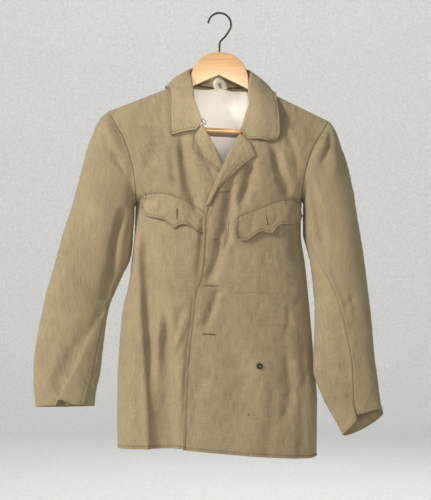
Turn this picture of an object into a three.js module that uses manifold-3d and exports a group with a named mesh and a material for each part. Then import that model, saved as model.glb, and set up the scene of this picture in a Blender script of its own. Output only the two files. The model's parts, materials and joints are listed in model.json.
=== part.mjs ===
// A military uniform jacket hanging open at the neck on a wooden hanger.
// Millimetres, +X to the viewer's right, +Z up, the front of the jacket toward -Y.
// The origin is the inside top of the hanger's hook, where the peg bears.

import * as THREE from 'three';
import { mergeVertices } from 'three/addons/utils/BufferGeometryUtils.js';
import Module from 'manifold-3d';

const wasm = await Module();
wasm.setup();

// Driving sizes
const CLOTH = 1.6; // shell cloth, with its inner layer
const DOUBLE = 2.0; // collar, lapels and flaps, which are sewn double
const LINING = 1.0;
const SEAM_GAP = 0.5; // between two sewn pieces
const LIFT = 1.2; // air between a panel and what lies on it
const FRONT_CURVE = 2.6; // superellipse powers of the body's cross-section
const BACK_CURVE = 2.9;
const RIDGE = -106; // height at which the two shoulder lines would meet
const NECK_AT = 2 / 7; // how far along each shoulder line the neck point lies
const ARMPIT = 0.355; // share of a panel's length from shoulder to armpit
const NAPE_END = 0.15; // share of the back's length over which the neck's dip fades
const BACK_ARMHOLE_OUT = 5; // how much farther out the back's half of the armhole lies
const BACK_SAG = 3; // of the back's hem, half way to the side
const CENTRE_SEAM = 3; // how far the centre-back seam stands out at the hem
const LEFT_SAG = 4; // of each front's hem
const RIGHT_SAG = -1;
const FALL_BOW = 5; // how far the collar's fall bows out
const LINING_AIR = 2; // between the back and its lining

const HANGER_THICK = 12;
const HOOK_WIRE = 4;
const HOOK_RADIUS = 22.4; // to the middle of the wire
const BAR_DIAMETER = 10.5;

// Small helpers

const vec = (x, y, z) => new THREE.Vector3(x, y, z);
const mix = (a, b, t) => a + (b - a) * t;
const clamp = (v, lo, hi) => Math.min(hi, Math.max(lo, v));
const smooth = (t) => { const u = clamp(t, 0, 1); return u * u * (3 - 2 * u); };
const span = (n) => Array.from({ length: n }, (_, i) => i / (n - 1));

// A table is a list of rows under named columns. The result is a function of the
// first column that gives each other column as a smooth curve through the rows,
// which never swings past them.
function table(names, rows) {
  const at = rows.map((r) => r[0]);
  const slope = (c, i) => {
    const d = (j) => (rows[j + 1][c] - rows[j][c]) / (at[j + 1] - at[j]);
    if (i === 0) return d(0);
    if (i === at.length - 1) return d(i - 1);
    const [before, after] = [d(i - 1), d(i)];
    return before * after <= 0 ? 0 : 2 * before * after / (before + after);
  };
  return (s) => {
    const t = clamp(s, at[0], at[at.length - 1]);
    let i = 0;
    while (i < at.length - 2 && t > at[i + 1]) i += 1;
    const h = at[i + 1] - at[i];
    const u = (t - at[i]) / h;
    const out = {};
    names.slice(1).forEach((name, k) => {
      const c = k + 1;
      const [p, q] = [rows[i][c], rows[i + 1][c]];
      const [m, n] = [slope(c, i) * h, slope(c, i + 1) * h];
      out[name] = (2 * u ** 3 - 3 * u ** 2 + 1) * p + (u ** 3 - 2 * u ** 2 + u) * m
        + (3 * u ** 2 - 2 * u ** 3) * q + (u ** 3 - u ** 2) * n;
    });
    return out;
  };
}

const point = (row) => vec(row.x, row.y, row.z);

// Surfaces of the body. Each panel is a function of s, from the shoulder down to
// the hem, and t, from its inner edge out to the armhole or the side seam.

const leftInner = table(['s', 'x', 'y', 'z'], [
  [0, 61.3, 0, -135.7],
  [0.01, 61, -8, -137.5],
  [0.022, 60.5, -15, -147],
  [0.05, 60, -27, -170.5],
  [0.095, 52.5, -41, -197.5],
  [0.15, 42.5, -54, -233],
  [0.225, 18, -68, -278],
  [0.3, -5, -75.5, -327],
  [0.345, -21, -77.5, -365],
  [0.385, -30, -78.5, -397],
  [0.465, -32.5, -79, -458.5],
  [0.54, -38, -79, -511.5],
  [0.585, -50, -79, -544],
  [0.655, -55.5, -79, -597.5],
  [0.78, -65, -79, -689],
  [0.885, -68, -78.5, -765.5],
  [1, -71, -77.5, -842.5],
]);

const leftOuter = table(['s', 'x', 'y', 'z'], [
  [0, 214.5, 0, -210],
  [0.01, 212.5, -7, -211.5],
  [0.022, 207.5, -14.5, -219.5],
  [0.05, 197, -26, -236],
  [0.12, 182, -40, -261.5],
  [0.18, 172, -47, -287],
  [0.245, 164, -47, -318],
  [0.3, 160.5, -38, -342.5],
  [0.335, 160, -22, -358.5],
  [0.355, 160, 0, -366.5],
  [0.385, 158.5, 0, -388],
  [0.43, 158, 0, -425],
  [0.51, 166, 0, -485.5],
  [0.605, 173.5, 0, -557.5],
  [0.745, 182.5, 0, -659],
  [0.87, 189.5, 0, -756.5],
  [1, 189, 0, -861],
]);

const rightInner = table(['s', 'x', 'y', 'z'], [
  [0, -62.3, 0, -130.1],
  [0.01, -61.5, -8, -132],
  [0.022, -60.5, -15, -142],
  [0.05, -54.5, -26, -166],
  [0.09, -45.5, -38, -187.5],
  [0.13, -36.5, -47, -212],
  [0.19, -20.5, -54, -249],
  [0.25, -1, -58.5, -285],
  [0.295, 12.5, -60.5, -313],
  [0.335, 18, -62.5, -345.5],
  [0.39, 19, -65.5, -397],
  [0.47, 16, -69.5, -458.5],
  [0.56, 6.5, -71.5, -527],
  [0.72, -14.5, -71.5, -645.5],
  [0.9, -23, -71, -775.5],
  [1, -24, -70, -842.5],
]);

const rightOuter = table(['s', 'x', 'y', 'z'], [
  [0, -218, 0, -190.5],
  [0.01, -216, -7, -192.2],
  [0.022, -210.5, -14.5, -199.5],
  [0.05, -200, -25, -216.5],
  [0.12, -182.5, -40, -249],
  [0.18, -171.5, -47, -281.5],
  [0.245, -164, -47, -316],
  [0.3, -162, -38, -344.5],
  [0.335, -162, -22, -361.5],
  [0.355, -163, 0, -370.5],
  [0.43, -165, 0, -425],
  [0.535, -173.5, 0, -504],
  [0.585, -179, 0, -540],
  [0.615, -186, 0, -563.5],
  [0.67, -191.5, 0, -604.5],
  [0.785, -197.5, 0, -691.5],
  [0.925, -199.5, 0, -792.5],
  [1, -198, 0, -845],
]);

const backCentre = table(['s', 'x', 'y', 'z'], [
  [0, 0, 0, -106],
  [0.01, 0, 12, -107.5],
  [0.022, 0, 25, -112.5],
  [0.04, 0, 38, -126],
  [0.06, 0, 46, -142],
  [0.095, 0, 52, -172],
  [0.15, -1, 56, -220],
  [0.25, -1, 58, -304],
  [0.355, -2, 58, -392],
  [0.5, -3, 57, -505],
  [0.65, -4, 58, -620],
  [0.8, -4.5, 61, -735],
  [1, -4.5, 64, -853],
]);

// A row across a panel is an arc of a superellipse whose widest point is on the side
// seam's plane, y = 0. It ends where its own outer point lies on that arc.
function acrossRow(inner, outer, power, t) {
  const height = (f) => Math.max(0, 1 - f ** power) ** (1 / power);
  const end = clamp(height(clamp(outer.y / inner.y || 0, 0, 1)), 0.2, 1);
  const f = Math.sin(t * Math.asin(end));
  const depth = (height(f) - height(end)) / (1 - height(end));
  return vec(mix(inner.x, outer.x, f / end), mix(outer.y, inner.y, depth), mix(inner.z, outer.z, f / end));
}

// Folds: a line down the front view, from (x0, z0) by way of (x1, z1) to (x2, z2),
// how wide the fold is at its two ends, and how far it goes in (or out, below 0).
const foldNames = ['x0', 'z0', 'x1', 'z1', 'x2', 'z2', 'w0', 'w2', 'deep'];
const foldTable = (rows) => rows.map((row) => Object.fromEntries(row.map((v, i) => [foldNames[i], v])));

const rightFolds = foldTable([
  [-150, -400, -137, -560, -126, -850, 12, 22, 9],
  [-146, -600, -139, -700, -134, -850, 8, 10, -4],
  [-104, -590, -104, -700, -108, -850, 10, 20, 7],
  [-76, -240, -64, -310, -34, -410, 12, 16, 4],
]);

const leftFolds = foldTable([
  [18, -330, 6, -430, -26, -530, 10, 14, 3.2],
  [-4, -530, -14, -570, -32, -620, 10, 12, 3],
  [100, -255, 118, -325, 138, -362, 10, 12, 4],
  [62, -290, 53, -335, 36, -385, 10, 14, 3.5],
  [120, -600, 128, -700, 120, -860, 22, 30, 4],
  [20, -640, 30, -740, 26, -860, 26, 34, 3],
]);

function foldDepth(folds, p) {
  let sum = 0;
  for (const f of folds) {
    const line = [[f.x0, f.z0], [f.x1, f.z1], [f.x2, f.z2]];
    let best = { d: Infinity, u: 0 };
    for (let i = 0; i < 2; i += 1) {
      const [ax, az] = line[i];
      const [bx, bz] = line[i + 1];
      const len2 = (bx - ax) ** 2 + (bz - az) ** 2;
      const u = clamp(((p.x - ax) * (bx - ax) + (p.z - az) * (bz - az)) / len2, 0, 1);
      const d = Math.hypot(p.x - mix(ax, bx, u), p.z - mix(az, bz, u));
      if (d < best.d) best = { d, u: (i + u) / 2 };
    }
    const w = mix(f.w0, f.w2, best.u);
    const open = f.z2 < -830; // a fold that runs out through the hem
    const ends = smooth(best.u / 0.25) * (open ? 1 : smooth((1 - best.u) / 0.25));
    sum += f.deep * ends * Math.exp(-((best.d / w) ** 2));
  }
  return sum;
}

// Along the neck and the roll line the front's own edge stands back, inside the wrap
// of the collar and the lapel.
const WRAP = 3.5;
const wrapped = (s) => smooth(s / 0.02) * (1 - smooth((s - 0.345) / 0.03));

function frontPanel(inner, outer, folds, sag) {
  return (s, t) => {
    const [edge, side] = [point(inner(s)), point(outer(s))];
    edge.add(side.clone().sub(edge).setLength(WRAP * wrapped(s)));
    const p = acrossRow(edge, side, FRONT_CURVE, t);
    const shade = smooth((1 - t) / 0.12); // folds fade out at the side seam
    p.y += foldDepth(folds, p) * shade;
    p.z -= sag * Math.sin(Math.PI * t) * smooth((s - 0.7) / 0.3);
    return p;
  };
}

const frontLeft = frontPanel(leftInner, leftOuter, leftFolds, LEFT_SAG);
const frontRight = frontPanel(rightInner, rightOuter, rightFolds, RIGHT_SAG);

// The back's half armhole lies a little farther out than the front's.
const backOuter = (outer, s) => {
  const row = outer(s);
  const out = s < ARMPIT ? Math.sin(Math.PI * s / ARMPIT) : 0;
  return vec(row.x + BACK_ARMHOLE_OUT * Math.sign(row.x) * out, -row.y * mix(1, 0.9, out), row.z);
};

// The top of the back dips from the neck points to the nape.
const napeDip = table(['t', 's'], [
  [0, 0.06], [1 / 14, 0.053], [2 / 14, 0.037], [3 / 14, 0.019], [4 / 14, 0], [1, 0],
]);

function backPanel(s, side) {
  const t = Math.abs(side);
  const top = t < NECK_AT ? napeDip(t).s : 0;
  const row = s < NAPE_END ? top + s * (1 - top / NAPE_END) : s;
  const outer = backOuter(side < 0 ? rightOuter : leftOuter, row);
  const p = acrossRow(point(backCentre(row)), outer, BACK_CURVE, t);
  p.z -= BACK_SAG * Math.sin(Math.PI * t) * smooth((s - 0.7) / 0.3);
  p.y -= CENTRE_SEAM * Math.exp(-((t / 0.1) ** 2)) * smooth((s - 0.7) / 0.3);
  return p;
}

// The point of a front panel behind a place in the front view, moved out along the
// panel's normal.
function onPanel(panel, x, z, lift) {
  let s = clamp((-140 - z) / 710, 0.02, 0.98);
  let t = 0.4;
  for (let i = 0; i < 24; i += 1) {
    const p = panel(s, t);
    const ds = panel(s + 0.002, t).sub(p).divideScalar(0.002);
    const dt = panel(s, t + 0.002).sub(p).divideScalar(0.002);
    const det = ds.x * dt.z - ds.z * dt.x;
    const [ex, ez] = [x - p.x, z - p.z];
    s = clamp(s + clamp((ex * dt.z - ez * dt.x) / det, -0.1, 0.1), 0, 0.995);
    t = clamp(t + clamp((ez * ds.x - ex * ds.z) / det, -0.1, 0.1), 0, 0.96);
  }
  const [p, step] = [panel(s, t), 0.01];
  const down = panel(s + step, t).sub(panel(Math.max(0, s - step), t));
  const across = panel(s, t + step).sub(panel(s, Math.max(0, t - step)));
  const normal = down.cross(across).normalize();
  return p.addScaledVector(normal, normal.y < 0 ? lift : -lift);
}

// Walls. A grid of outer points, rows by columns, becomes one closed wall whose
// inner points lie along the inward normals.

function gridNormals(grid, flip) {
  const [rows, cols] = [grid.length, grid[0].length];
  return grid.map((line, r) => line.map((_, c) => {
    const down = grid[Math.min(r + 1, rows - 1)][c].clone().sub(grid[Math.max(r - 1, 0)][c]);
    const across = line[Math.min(c + 1, cols - 1)].clone().sub(line[Math.max(c - 1, 0)]);
    return down.cross(across).normalize().multiplyScalar(flip);
  }));
}

// Pulls one border of a grid in, so that sewn pieces keep their gap.
function pullIn(grid, where, gap = SEAM_GAP / 2) {
  const last = grid.length - 1;
  const end = grid[0].length - 1;
  const pull = (p, q) => p.add(q.clone().sub(p).setLength(gap));
  if (where.includes('top')) grid[0].forEach((p, c) => pull(p, grid[1][c]));
  if (where.includes('foot')) grid[last].forEach((p, c) => pull(p, grid[last - 1][c]));
  if (where.includes('start')) grid.forEach((line) => pull(line[0], line[1]));
  if (where.includes('end')) grid.forEach((line) => pull(line[end], line[end - 1]));
  return grid;
}

function wall(grid, thick, flip, normals = gridNormals(grid, flip)) {
  const [rows, cols] = [grid.length, grid[0].length];
  const inner = grid.map((line, r) => line.map((p, c) => p.clone().addScaledVector(normals[r][c], -thick)));
  const data = [...grid.flat(), ...inner.flat()].flatMap((p) => [p.x, p.y, p.z]);
  const half = rows * cols;
  const faces = [];
  const quad = (a, b, c, d) => {
    if (flip > 0) faces.push(a, b, c, a, c, d);
    else faces.push(a, c, b, a, d, c);
  };
  for (let r = 0; r < rows - 1; r += 1) {
    for (let c = 0; c < cols - 1; c += 1) {
      const [a, b] = [r * cols + c, (r + 1) * cols + c];
      quad(a, b, b + 1, a + 1);
      quad(a + half, a + 1 + half, b + 1 + half, b + half);
    }
  }
  for (let r = 0; r < rows - 1; r += 1) {
    const [a, b] = [r * cols, (r + 1) * cols];
    const [c, d] = [a + cols - 1, b + cols - 1];
    quad(a, a + half, b + half, b);
    quad(c, d, d + half, c + half);
  }
  for (let c = 0; c < cols - 1; c += 1) {
    const [a, b] = [c, (rows - 1) * cols + c];
    quad(a, a + 1, a + 1 + half, a + half);
    quad(b, b + half, b + 1 + half, b + 1);
  }
  const geometry = new THREE.BufferGeometry();
  geometry.setAttribute('position', new THREE.Float32BufferAttribute(data, 3));
  geometry.setIndex(faces);
  return geometry;
}

// Materials

const cloth = (color) => new THREE.MeshStandardMaterial({ color, roughness: 0.92, metalness: 0 });
const khaki = cloth(0xaa9a76);
const ivory = cloth(0xe4dccb);
const tape = cloth(0xe9dfc6);
const wood = new THREE.MeshStandardMaterial({ color: 0xc98d4c, roughness: 0.45, metalness: 0 });
const darkSteel = new THREE.MeshStandardMaterial({ color: 0x3b3733, roughness: 0.4, metalness: 0.9 });
const blacked = new THREE.MeshStandardMaterial({ color: 0x2c2824, roughness: 0.5, metalness: 0.6 });

const jacket = new THREE.Group();
jacket.name = 'uniform_jacket_on_hanger';
const add = (name, geometry, material) => {
  const mesh = new THREE.Mesh(geometry, material);
  mesh.name = name;
  jacket.add(mesh);
};

// Fronts and back

const bodyRows = [0, 0.01, 0.022, 0.045, 0.08, 0.12, 0.165, 0.21, 0.25, 0.285, 0.315, 0.338, ARMPIT,
  0.385, 0.425, 0.475, 0.53, 0.585, 0.64, 0.7, 0.76, 0.82, 0.88, 0.94, 1];
const FRONT_COLUMNS = 16;
const BACK_COLUMNS = 14; // each side of the centre
const TOP_COLUMNS = 15; // of each sleeve's top half
const UNDER_COLUMNS = 8;
const FLAP_COLUMNS = 22;

const frontGrid = (panel) => bodyRows.map((s) => span(FRONT_COLUMNS).map((t) => panel(s, t)));
const backSides = Array.from({ length: 2 * BACK_COLUMNS + 1 }, (_, i) => i / BACK_COLUMNS - 1);
const backGrid = () => bodyRows.map((s) => backSides.map((side) => backPanel(s, side)));

// Sleeves: a row for each ring, with its outer and inner end in the front view,
// how far forward its middle lies, its half depth, how far its front and back bow
// toward the body, and how far the rim rises in front and dips behind.
const ringNames = ['ring', 'xo', 'zo', 'xi', 'zi', 'y', 'depth', 'bow', 'rise', 'dip'];

const rightRings = table(ringNames, [
  [0, -218, -190.5, -163, -370.5, 0, 46, 19, 0, 0],
  [1, -235, -207, -166, -380, -1, 50, 14, 0, 0],
  [2, -251, -243, -166.8, -395, -2, 50, 8, 0, 0],
  [3, -266, -294, -168.5, -418, -3, 48, 4, 0, 0],
  [4, -279, -341, -170.5, -446, -4, 46, 2, 0, 0],
  [5, -291.5, -386, -174, -478, -5, 43, 0, 0, 0],
  [6, -304, -428, -188, -508, -6, 40, 0, 0, 0],
  [7, -319, -480, -203, -540, -7, 37, 0, 0, 0],
  [8, -334, -534, -215, -572, -8, 34, 0, 0, 0],
  [9, -346, -586, -221, -603, -10, 32, 0, 0, 0],
  [10, -355.5, -637, -226, -646, -12, 29, 0, 0, 0],
  [11, -361.5, -680, -230, -682, -14, 25, 0, 0, 0],
  [12, -361.5, -708, -234, -711, -15, 21, 0, 0, 0],
  [13, -359, -741, -239.5, -740, -15, 18, 0, 0, 0],
  [14, -356.5, -765, -243, -763, -15, 17, 0, 3, 2],
]);

const leftRings = table(ringNames, [
  [0, 214.5, -210, 160, -366.5, 0, 46, 19, 0, 0],
  [1, 226.5, -228, 162, -372, -2, 50, 14, 0, 0],
  [2, 236.5, -256, 162, -387, -4, 50, 8, 0, 0],
  [3, 247, -288, 161.5, -406, -7, 49, 4, 0, 0],
  [4, 256, -329, 162, -430, -11, 47, 2, 0, 0],
  [5, 264.5, -373, 168, -455, -16, 44, 0, 0, 0],
  [6, 273, -428, 175.5, -485, -22, 41, 0, 0, 0],
  [7, 281.5, -492, 180, -527, -29, 38, 0, 0, 0],
  [8, 289, -560, 182.5, -574, -38, 34, 0, 0, 0],
  [9, 296, -628, 182, -629, -43, 30, 0, 0, 0],
  [10, 302.5, -695, 180.5, -688, -46, 26, 0, 0, 0],
  [11, 308.5, -745, 197.5, -742, -47, 22, 0, 4, 3],
  [12, 315, -775, 237, -815, -47, 18, 0, 20, 12],
]);

// Where the forearm seam and the elbow seam run, in degrees round each sleeve from
// its outer side by way of the front.
const rightSeams = table(['ring', 'front', 'elbow'], [
  [0, 160, 225], [8, 164, 222], [10, 150, 220], [14, 133, 222],
]);
const leftSeams = table(['ring', 'front', 'elbow'], [
  [0, 160, 225], [4, 150, 222], [6, 136, 220], [7, 106, 220], [8, 90, 222], [9, 80, 224], [12, 108, 228],
]);

// The right cuff is folded over itself: past a slanting line across the sleeve's
// front, its inner part stands forward on the pleat beneath.
const PLEAT = { x0: -238, z0: -592, x1: -309, z1: -742, rise: 6, width: 10 };

function pleatRise(p) {
  const [dx, dz] = [PLEAT.x1 - PLEAT.x0, PLEAT.z1 - PLEAT.z0];
  const length = Math.hypot(dx, dz);
  const past = (dx * (p.z - PLEAT.z0) - dz * (p.x - PLEAT.x0)) / length;
  const down = (dx * (p.x - PLEAT.x0) + dz * (p.z - PLEAT.z0)) / length;
  return PLEAT.rise * smooth(past / PLEAT.width) * (1 - smooth((past - 30) / 45)) * smooth(down / 70);
}

function sleevePoint(rings, ring, angle) {
  const r = rings(ring);
  const [outer, inner] = [vec(r.xo, r.y, r.zo), vec(r.xi, r.y, r.zi)];
  const out = outer.clone().sub(inner).multiplyScalar(0.5);
  const toBody = vec(-Math.sign(out.x) * Math.abs(out.z), 0, Math.abs(out.x)).normalize();
  const p = outer.add(inner).multiplyScalar(0.5);
  p.addScaledVector(out, Math.cos(angle)).addScaledVector(toBody, r.bow * Math.sin(angle) ** 2);
  p.y -= r.depth * Math.sin(angle);
  const inFront = angle > 0 && angle < Math.PI;
  p.z += (inFront ? r.rise : r.dip) * Math.sin(angle);
  if (inFront && p.x < 0) p.y -= pleatRise(p) * Math.sin(angle);
  return p;
}

// The armhole is the sleeve's first ring: down the front border of the body to the
// armpit, then up the back border. Its rows are the body's own rows.
const ARMHOLE_ROWS = bodyRows.indexOf(ARMPIT);
const DEG = Math.PI / 180;
const PAST_SEAM = 12 * DEG;

// Share of the way down the armhole, 0 to 1 in front and 0 to -1 behind.
const halfTurn = (angle) => {
  const a = (angle / Math.PI + 2) % 2;
  return a <= 1 ? a : a - 2;
};

function armholePoint(side, angle) {
  const half = halfTurn(angle);
  const at = Math.abs(half) * ARMHOLE_ROWS;
  const i = Math.min(ARMHOLE_ROWS - 1, Math.floor(at));
  const s = mix(bodyRows[i], bodyRows[i + 1], at - i);
  return half >= 0 ? side.front(s, 1) : backPanel(s, side.x);
}

const sleeveGrid = (side, count, angles) => Array.from({ length: count }, (_, ring) => (
  angles(ring).map((a) => (ring ? sleevePoint(side.rings, ring, a) : armholePoint(side, a)))));

const sides = [
  { name: 'left', x: 1, front: frontLeft, rings: leftRings, count: 13, seams: leftSeams },
  { name: 'right', x: -1, front: frontRight, rings: rightRings, count: 15, seams: rightSeams },
];

// Both walls at the armhole are cut to one mitre, except under the arm, where the
// sleeve and the body part.
function mitre(own, other) {
  const w = smooth(own.dot(other) * 2 + 1);
  return own.clone().addScaledVector(other, w).normalize();
}

const back = pullIn(backGrid(), ['top', 'start', 'end']);
const backNormals = gridNormals(back, -1);
backNormals[0].forEach((n, c) => { if (Math.abs(backSides[c]) > NECK_AT) n.setY(0).normalize(); });

for (const side of sides) {
  const grid = pullIn(frontGrid(side.front), ['top', 'end']);
  const normals = gridNormals(grid, side.x);
  normals[0].forEach((n) => n.setY(0).normalize());
  const loop = Array.from({ length: 2 * ARMHOLE_ROWS + 1 }, (_, i) => Math.PI * i / ARMHOLE_ROWS);
  const sleeveNormals = gridNormals(sleeveGrid(side, 2, () => loop), -side.x)[0];
  const column = side.x < 0 ? 0 : backSides.length - 1;
  const last = FRONT_COLUMNS - 1;
  const loopNormals = loop.map(() => null);
  bodyRows.forEach((s, r) => {
    if (s > ARMPIT) {
      normals[r][last].setY(0).normalize();
      backNormals[r][column].setY(0).normalize();
      return;
    }
    const behind = (2 * ARMHOLE_ROWS - r) % (2 * ARMHOLE_ROWS);
    loopNormals[r] = mitre(sleeveNormals[r], normals[r][last]);
    loopNormals[behind] = r ? mitre(sleeveNormals[behind], backNormals[r][column]) : loopNormals[0];
    normals[r][last] = mitre(normals[r][last], sleeveNormals[r]);
    backNormals[r][column] = mitre(backNormals[r][column], sleeveNormals[behind]);
  });
  add(`front_${side.name}`, wall(grid, CLOTH, side.x, normals), khaki);

  const loopNormal = (angle) => {
    const half = halfTurn(angle);
    const at = half >= 0 ? half * ARMHOLE_ROWS : (2 + half) * ARMHOLE_ROWS;
    const i = Math.floor(at);
    const [a, b] = [loopNormals[i % (2 * ARMHOLE_ROWS)], loopNormals[(i + 1) % (2 * ARMHOLE_ROWS)]];
    return a.clone().lerp(b, at - i).normalize();
  };
  const halves = [
    ['top', TOP_COLUMNS, (seam) => [seam.elbow - 360, seam.front]],
    ['under', UNDER_COLUMNS, (seam) => [seam.front, seam.elbow]],
  ];
  for (const [half, columns, ends] of halves) {
    const angles = (ring) => {
      const [from, to] = ends(side.seams(ring)).map((a) => a * DEG);
      return span(columns).map((t) => mix(from, to, t));
    };
    const pastSeams = (ring) => {
      const inside = angles(ring);
      return [inside[0] - PAST_SEAM, ...inside, inside[columns - 1] + PAST_SEAM];
    };
    const wide = gridNormals(sleeveGrid(side, side.count, pastSeams), -side.x);
    const sleeveWalls = wide.map((line) => line.slice(1, -1));
    const sleeve = pullIn(sleeveGrid(side, side.count, angles), ['start', 'end'], 0.8 * SEAM_GAP);
    pullIn(sleeve, ['top'], 1.3 * SEAM_GAP);
    angles(0).forEach((a, c) => { sleeveWalls[0][c] = loopNormal(a); });
    add(`sleeve_${side.name}_${half}`, wall(sleeve, CLOTH, -side.x, sleeveWalls), khaki);
  }
}
add('back', wall(back, CLOTH, -1, backNormals), khaki);

// Collar: stations run from the right front end, round the neck, to the left front
// end. Each has the crown of the roll, the outer edge of the fall and the foot of the
// stand, and how far the free front edge droops below the straight line to its tip.
const collarNames = ['at', 'x', 'y', 'z'];
const collarRoll = table(collarNames, [
  [0, -33, -52, -212.5], [1, -42, -42, -186], [2, -49.5, -31, -163], [3, -51, -19, -144],
  [3.5, -55, -14, -127], [4, -60, -6, -112], [5, -58, 11, -105], [6, -47, 28, -101], [7, -25, 40, -98],
  [8, 0, 44, -97],
  [9, 25, 40, -98.5], [10, 47, 28, -103], [11, 58.5, 11, -108], [12, 61, -6, -117],
  [12.5, 57.5, -14, -132], [13, 56, -19, -150], [14, 57, -31, -171], [15, 49.5, -45, -197.5],
  [16, 41, -57, -228],
]);
const collarEdge = table(collarNames, [
  [0, -97.5, -53, -239.5], [1, -98.5, -44, -206], [2, -99, -28, -174], [3, -103, -9, -149],
  [4, -106.5, 10, -142.5], [5, -101, 38, -148.5], [6, -70, 59, -158], [7, -36, 66, -163], [8, 0, 68, -165],
  [9, 38, 66, -165], [10, 73, 59, -162], [11, 102, 38, -155], [12, 109, 12, -153.5],
  [13, 111, -8, -161], [14, 113.5, -29, -180], [15, 116.5, -49, -213.5], [16, 102, -58, -250],
]);
const collarFoot = table(collarNames, [
  [0, -34, -45, -213], [1, -44, -35, -187.5], [2, -53.5, -24, -164], [3, -57.5, -14, -141],
  [4, -60.5, -3, -128], [5, -58.5, 14, -128.5], [6, -46, 32.5, -134], [7, -25, 41.5, -138.5],
  [8, 0, 44, -140.5],
  [9, 25, 41.5, -140], [10, 46, 32.5, -137.5], [11, 58.5, 14, -133.5], [12, 61, -3, -133.5],
  [13, 58, -15, -149], [14, 57, -26, -173], [15, 50, -38, -199], [16, 41, -50, -229],
]);
const droop = table(['at', 'down'], [[0, 12], [1, 2], [2, 0], [14, 0], [15, 2], [16, 15]]);
const droopShape = table(['t', 'k'], [
  [0, 0], [0.08, 0.6], [0.18, 1], [0.3, 0.92], [0.58, 0.56], [0.86, 0.28], [1, 0],
]);
const ROLL = 2.6; // outer radius of the collar's roll
const COLLAR_STATIONS = 33;

const shoulderSlope = (x) => (x < 0 ? 84.5 / 218 : 104 / 214.5);
const shoulderLine = (x) => RIDGE - Math.abs(x) * shoulderSlope(x);

// Lifts a point of the fall clear of the shoulder below it, and of the front.
function clearOfShoulder(p) {
  const air = LIFT + DOUBLE + 0.3;
  const drop = 10 * (p.y / 16) ** 2;
  if (Math.abs(p.y) < 16 && Math.abs(p.x) > 60) p.z = Math.max(p.z, shoulderLine(p.x) - drop + air + 2);
  if (p.y < -8 && p.z < shoulderLine(p.x) - 3) {
    const panel = p.x < 0 ? frontRight : frontLeft;
    p.y = Math.min(p.y, onPanel(panel, p.x, p.z, air).y);
  }
  return p;
}

function collarRow(at) {
  const roll = point(collarRoll(at));
  const edge = point(collarEdge(at));
  const foot = point(collarFoot(at));
  const along = point(collarRoll(at + 0.1)).sub(point(collarRoll(at - 0.1))).normalize();
  const fall = edge.clone().sub(roll);
  const across = fall.clone().addScaledVector(along, -fall.dot(along)).normalize();
  const out = along.clone().cross(across).normalize();
  const near = (a, n) => roll.clone().addScaledVector(across, a * ROLL).addScaledVector(out, n * ROLL);
  const fallPoints = [0.16, 0.36, 0.58, 0.8, 1].map((t) => {
    const p = roll.clone().addScaledVector(fall, t).addScaledVector(out, FALL_BOW * Math.sin(Math.PI * t));
    p.z -= droop(at).down * droopShape(t).k;
    return clearOfShoulder(p);
  });
  const stand = near(1, -2);
  const turn = [near(0.2, -1.6), near(0, -1), near(0.25, -0.3)];
  return [foot, foot.clone().lerp(stand, 0.5), stand, ...turn, ...fallPoints];
}
add('collar', wall(span(COLLAR_STATIONS).map((t) => collarRow(16 * t)), DOUBLE, 1), khaki);

// Lapels: rows run from the gorge seam down to the break. Each row wraps the front's
// edge at the roll line and lies back on the front out to the lapel's edge.
const lapelNames = ['q', 'xr', 'zr', 'xe', 'ze'];
const leftLapel = table(lapelNames, [
  [0, 38.7, -236, 69.5, -280], [0.2, 28.5, -252, 60.5, -286.5], [0.4, 15, -278, 46, -297.5],
  [0.58, 2, -305.5, 31.5, -310.5], [0.7, -7.5, -327, 17, -323], [0.8, -14.5, -342, 4, -335],
  [0.9, -22, -363, -7, -350], [1, -26, -377, -18, -371],
]);
const rightLapel = table(lapelNames, [
  [0, -32, -217, -52, -268.5], [0.2, -27.5, -228, -46, -275.5], [0.45, -16, -248, -34, -285],
  [0.7, -3, -272, -20.5, -296], [0.85, 4, -288, -8, -306], [1, 11, -306, 6, -313.5],
]);
// The gorge seam bends the top row of a lapel: right of the left one, left of the other.
const gorge = table(['t', 'k'], [[0, 0], [0.25, 0.7], [0.45, 1], [0.7, 0.6], [1, 0]]);

function lapelGrid(side, shape, bend) {
  return span(12).map((q) => {
    const row = shape(q);
    const [dx, dz] = [row.xe - row.xr, row.ze - row.zr];
    const length = Math.hypot(dx, dz);
    const [ex, ez] = [dx / length, dz / length];
    const reached = WRAP + 1.5;
    const held = onPanel(side.front, row.xr + ex * reached, row.zr + ez * reached, 0).y;
    const wrap = [[7, 4.6], [1.3, 3.7], [0, 0.8], [1.3, -2.1]].map(([reach, rise]) => (
      vec(row.xr + ex * reach, held + rise, row.zr + ez * reach)));
    const bendAt = bend * (1 - smooth(q / 0.3));
    const lying = [0.14, 0.3, 0.5, 0.7, 0.86, 1].map((t) => {
      const x = row.xr + dx * t + bendAt * gorge(t).k;
      const z = row.zr + dz * t + Math.abs(bendAt) * 0.35 * gorge(t).k;
      const lift = LIFT + DOUBLE + 1.5 * Math.sin(Math.PI * t);
      return onPanel(side.front, x, z, lift).setX(x).setZ(z);
    });
    return [...wrap, ...lying];
  });
}
add('lapel_left', wall(lapelGrid(sides[0], leftLapel, 6), DOUBLE, 1), khaki);
add('lapel_right', wall(lapelGrid(sides[1], rightLapel, -7), DOUBLE, -1), khaki);

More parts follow.
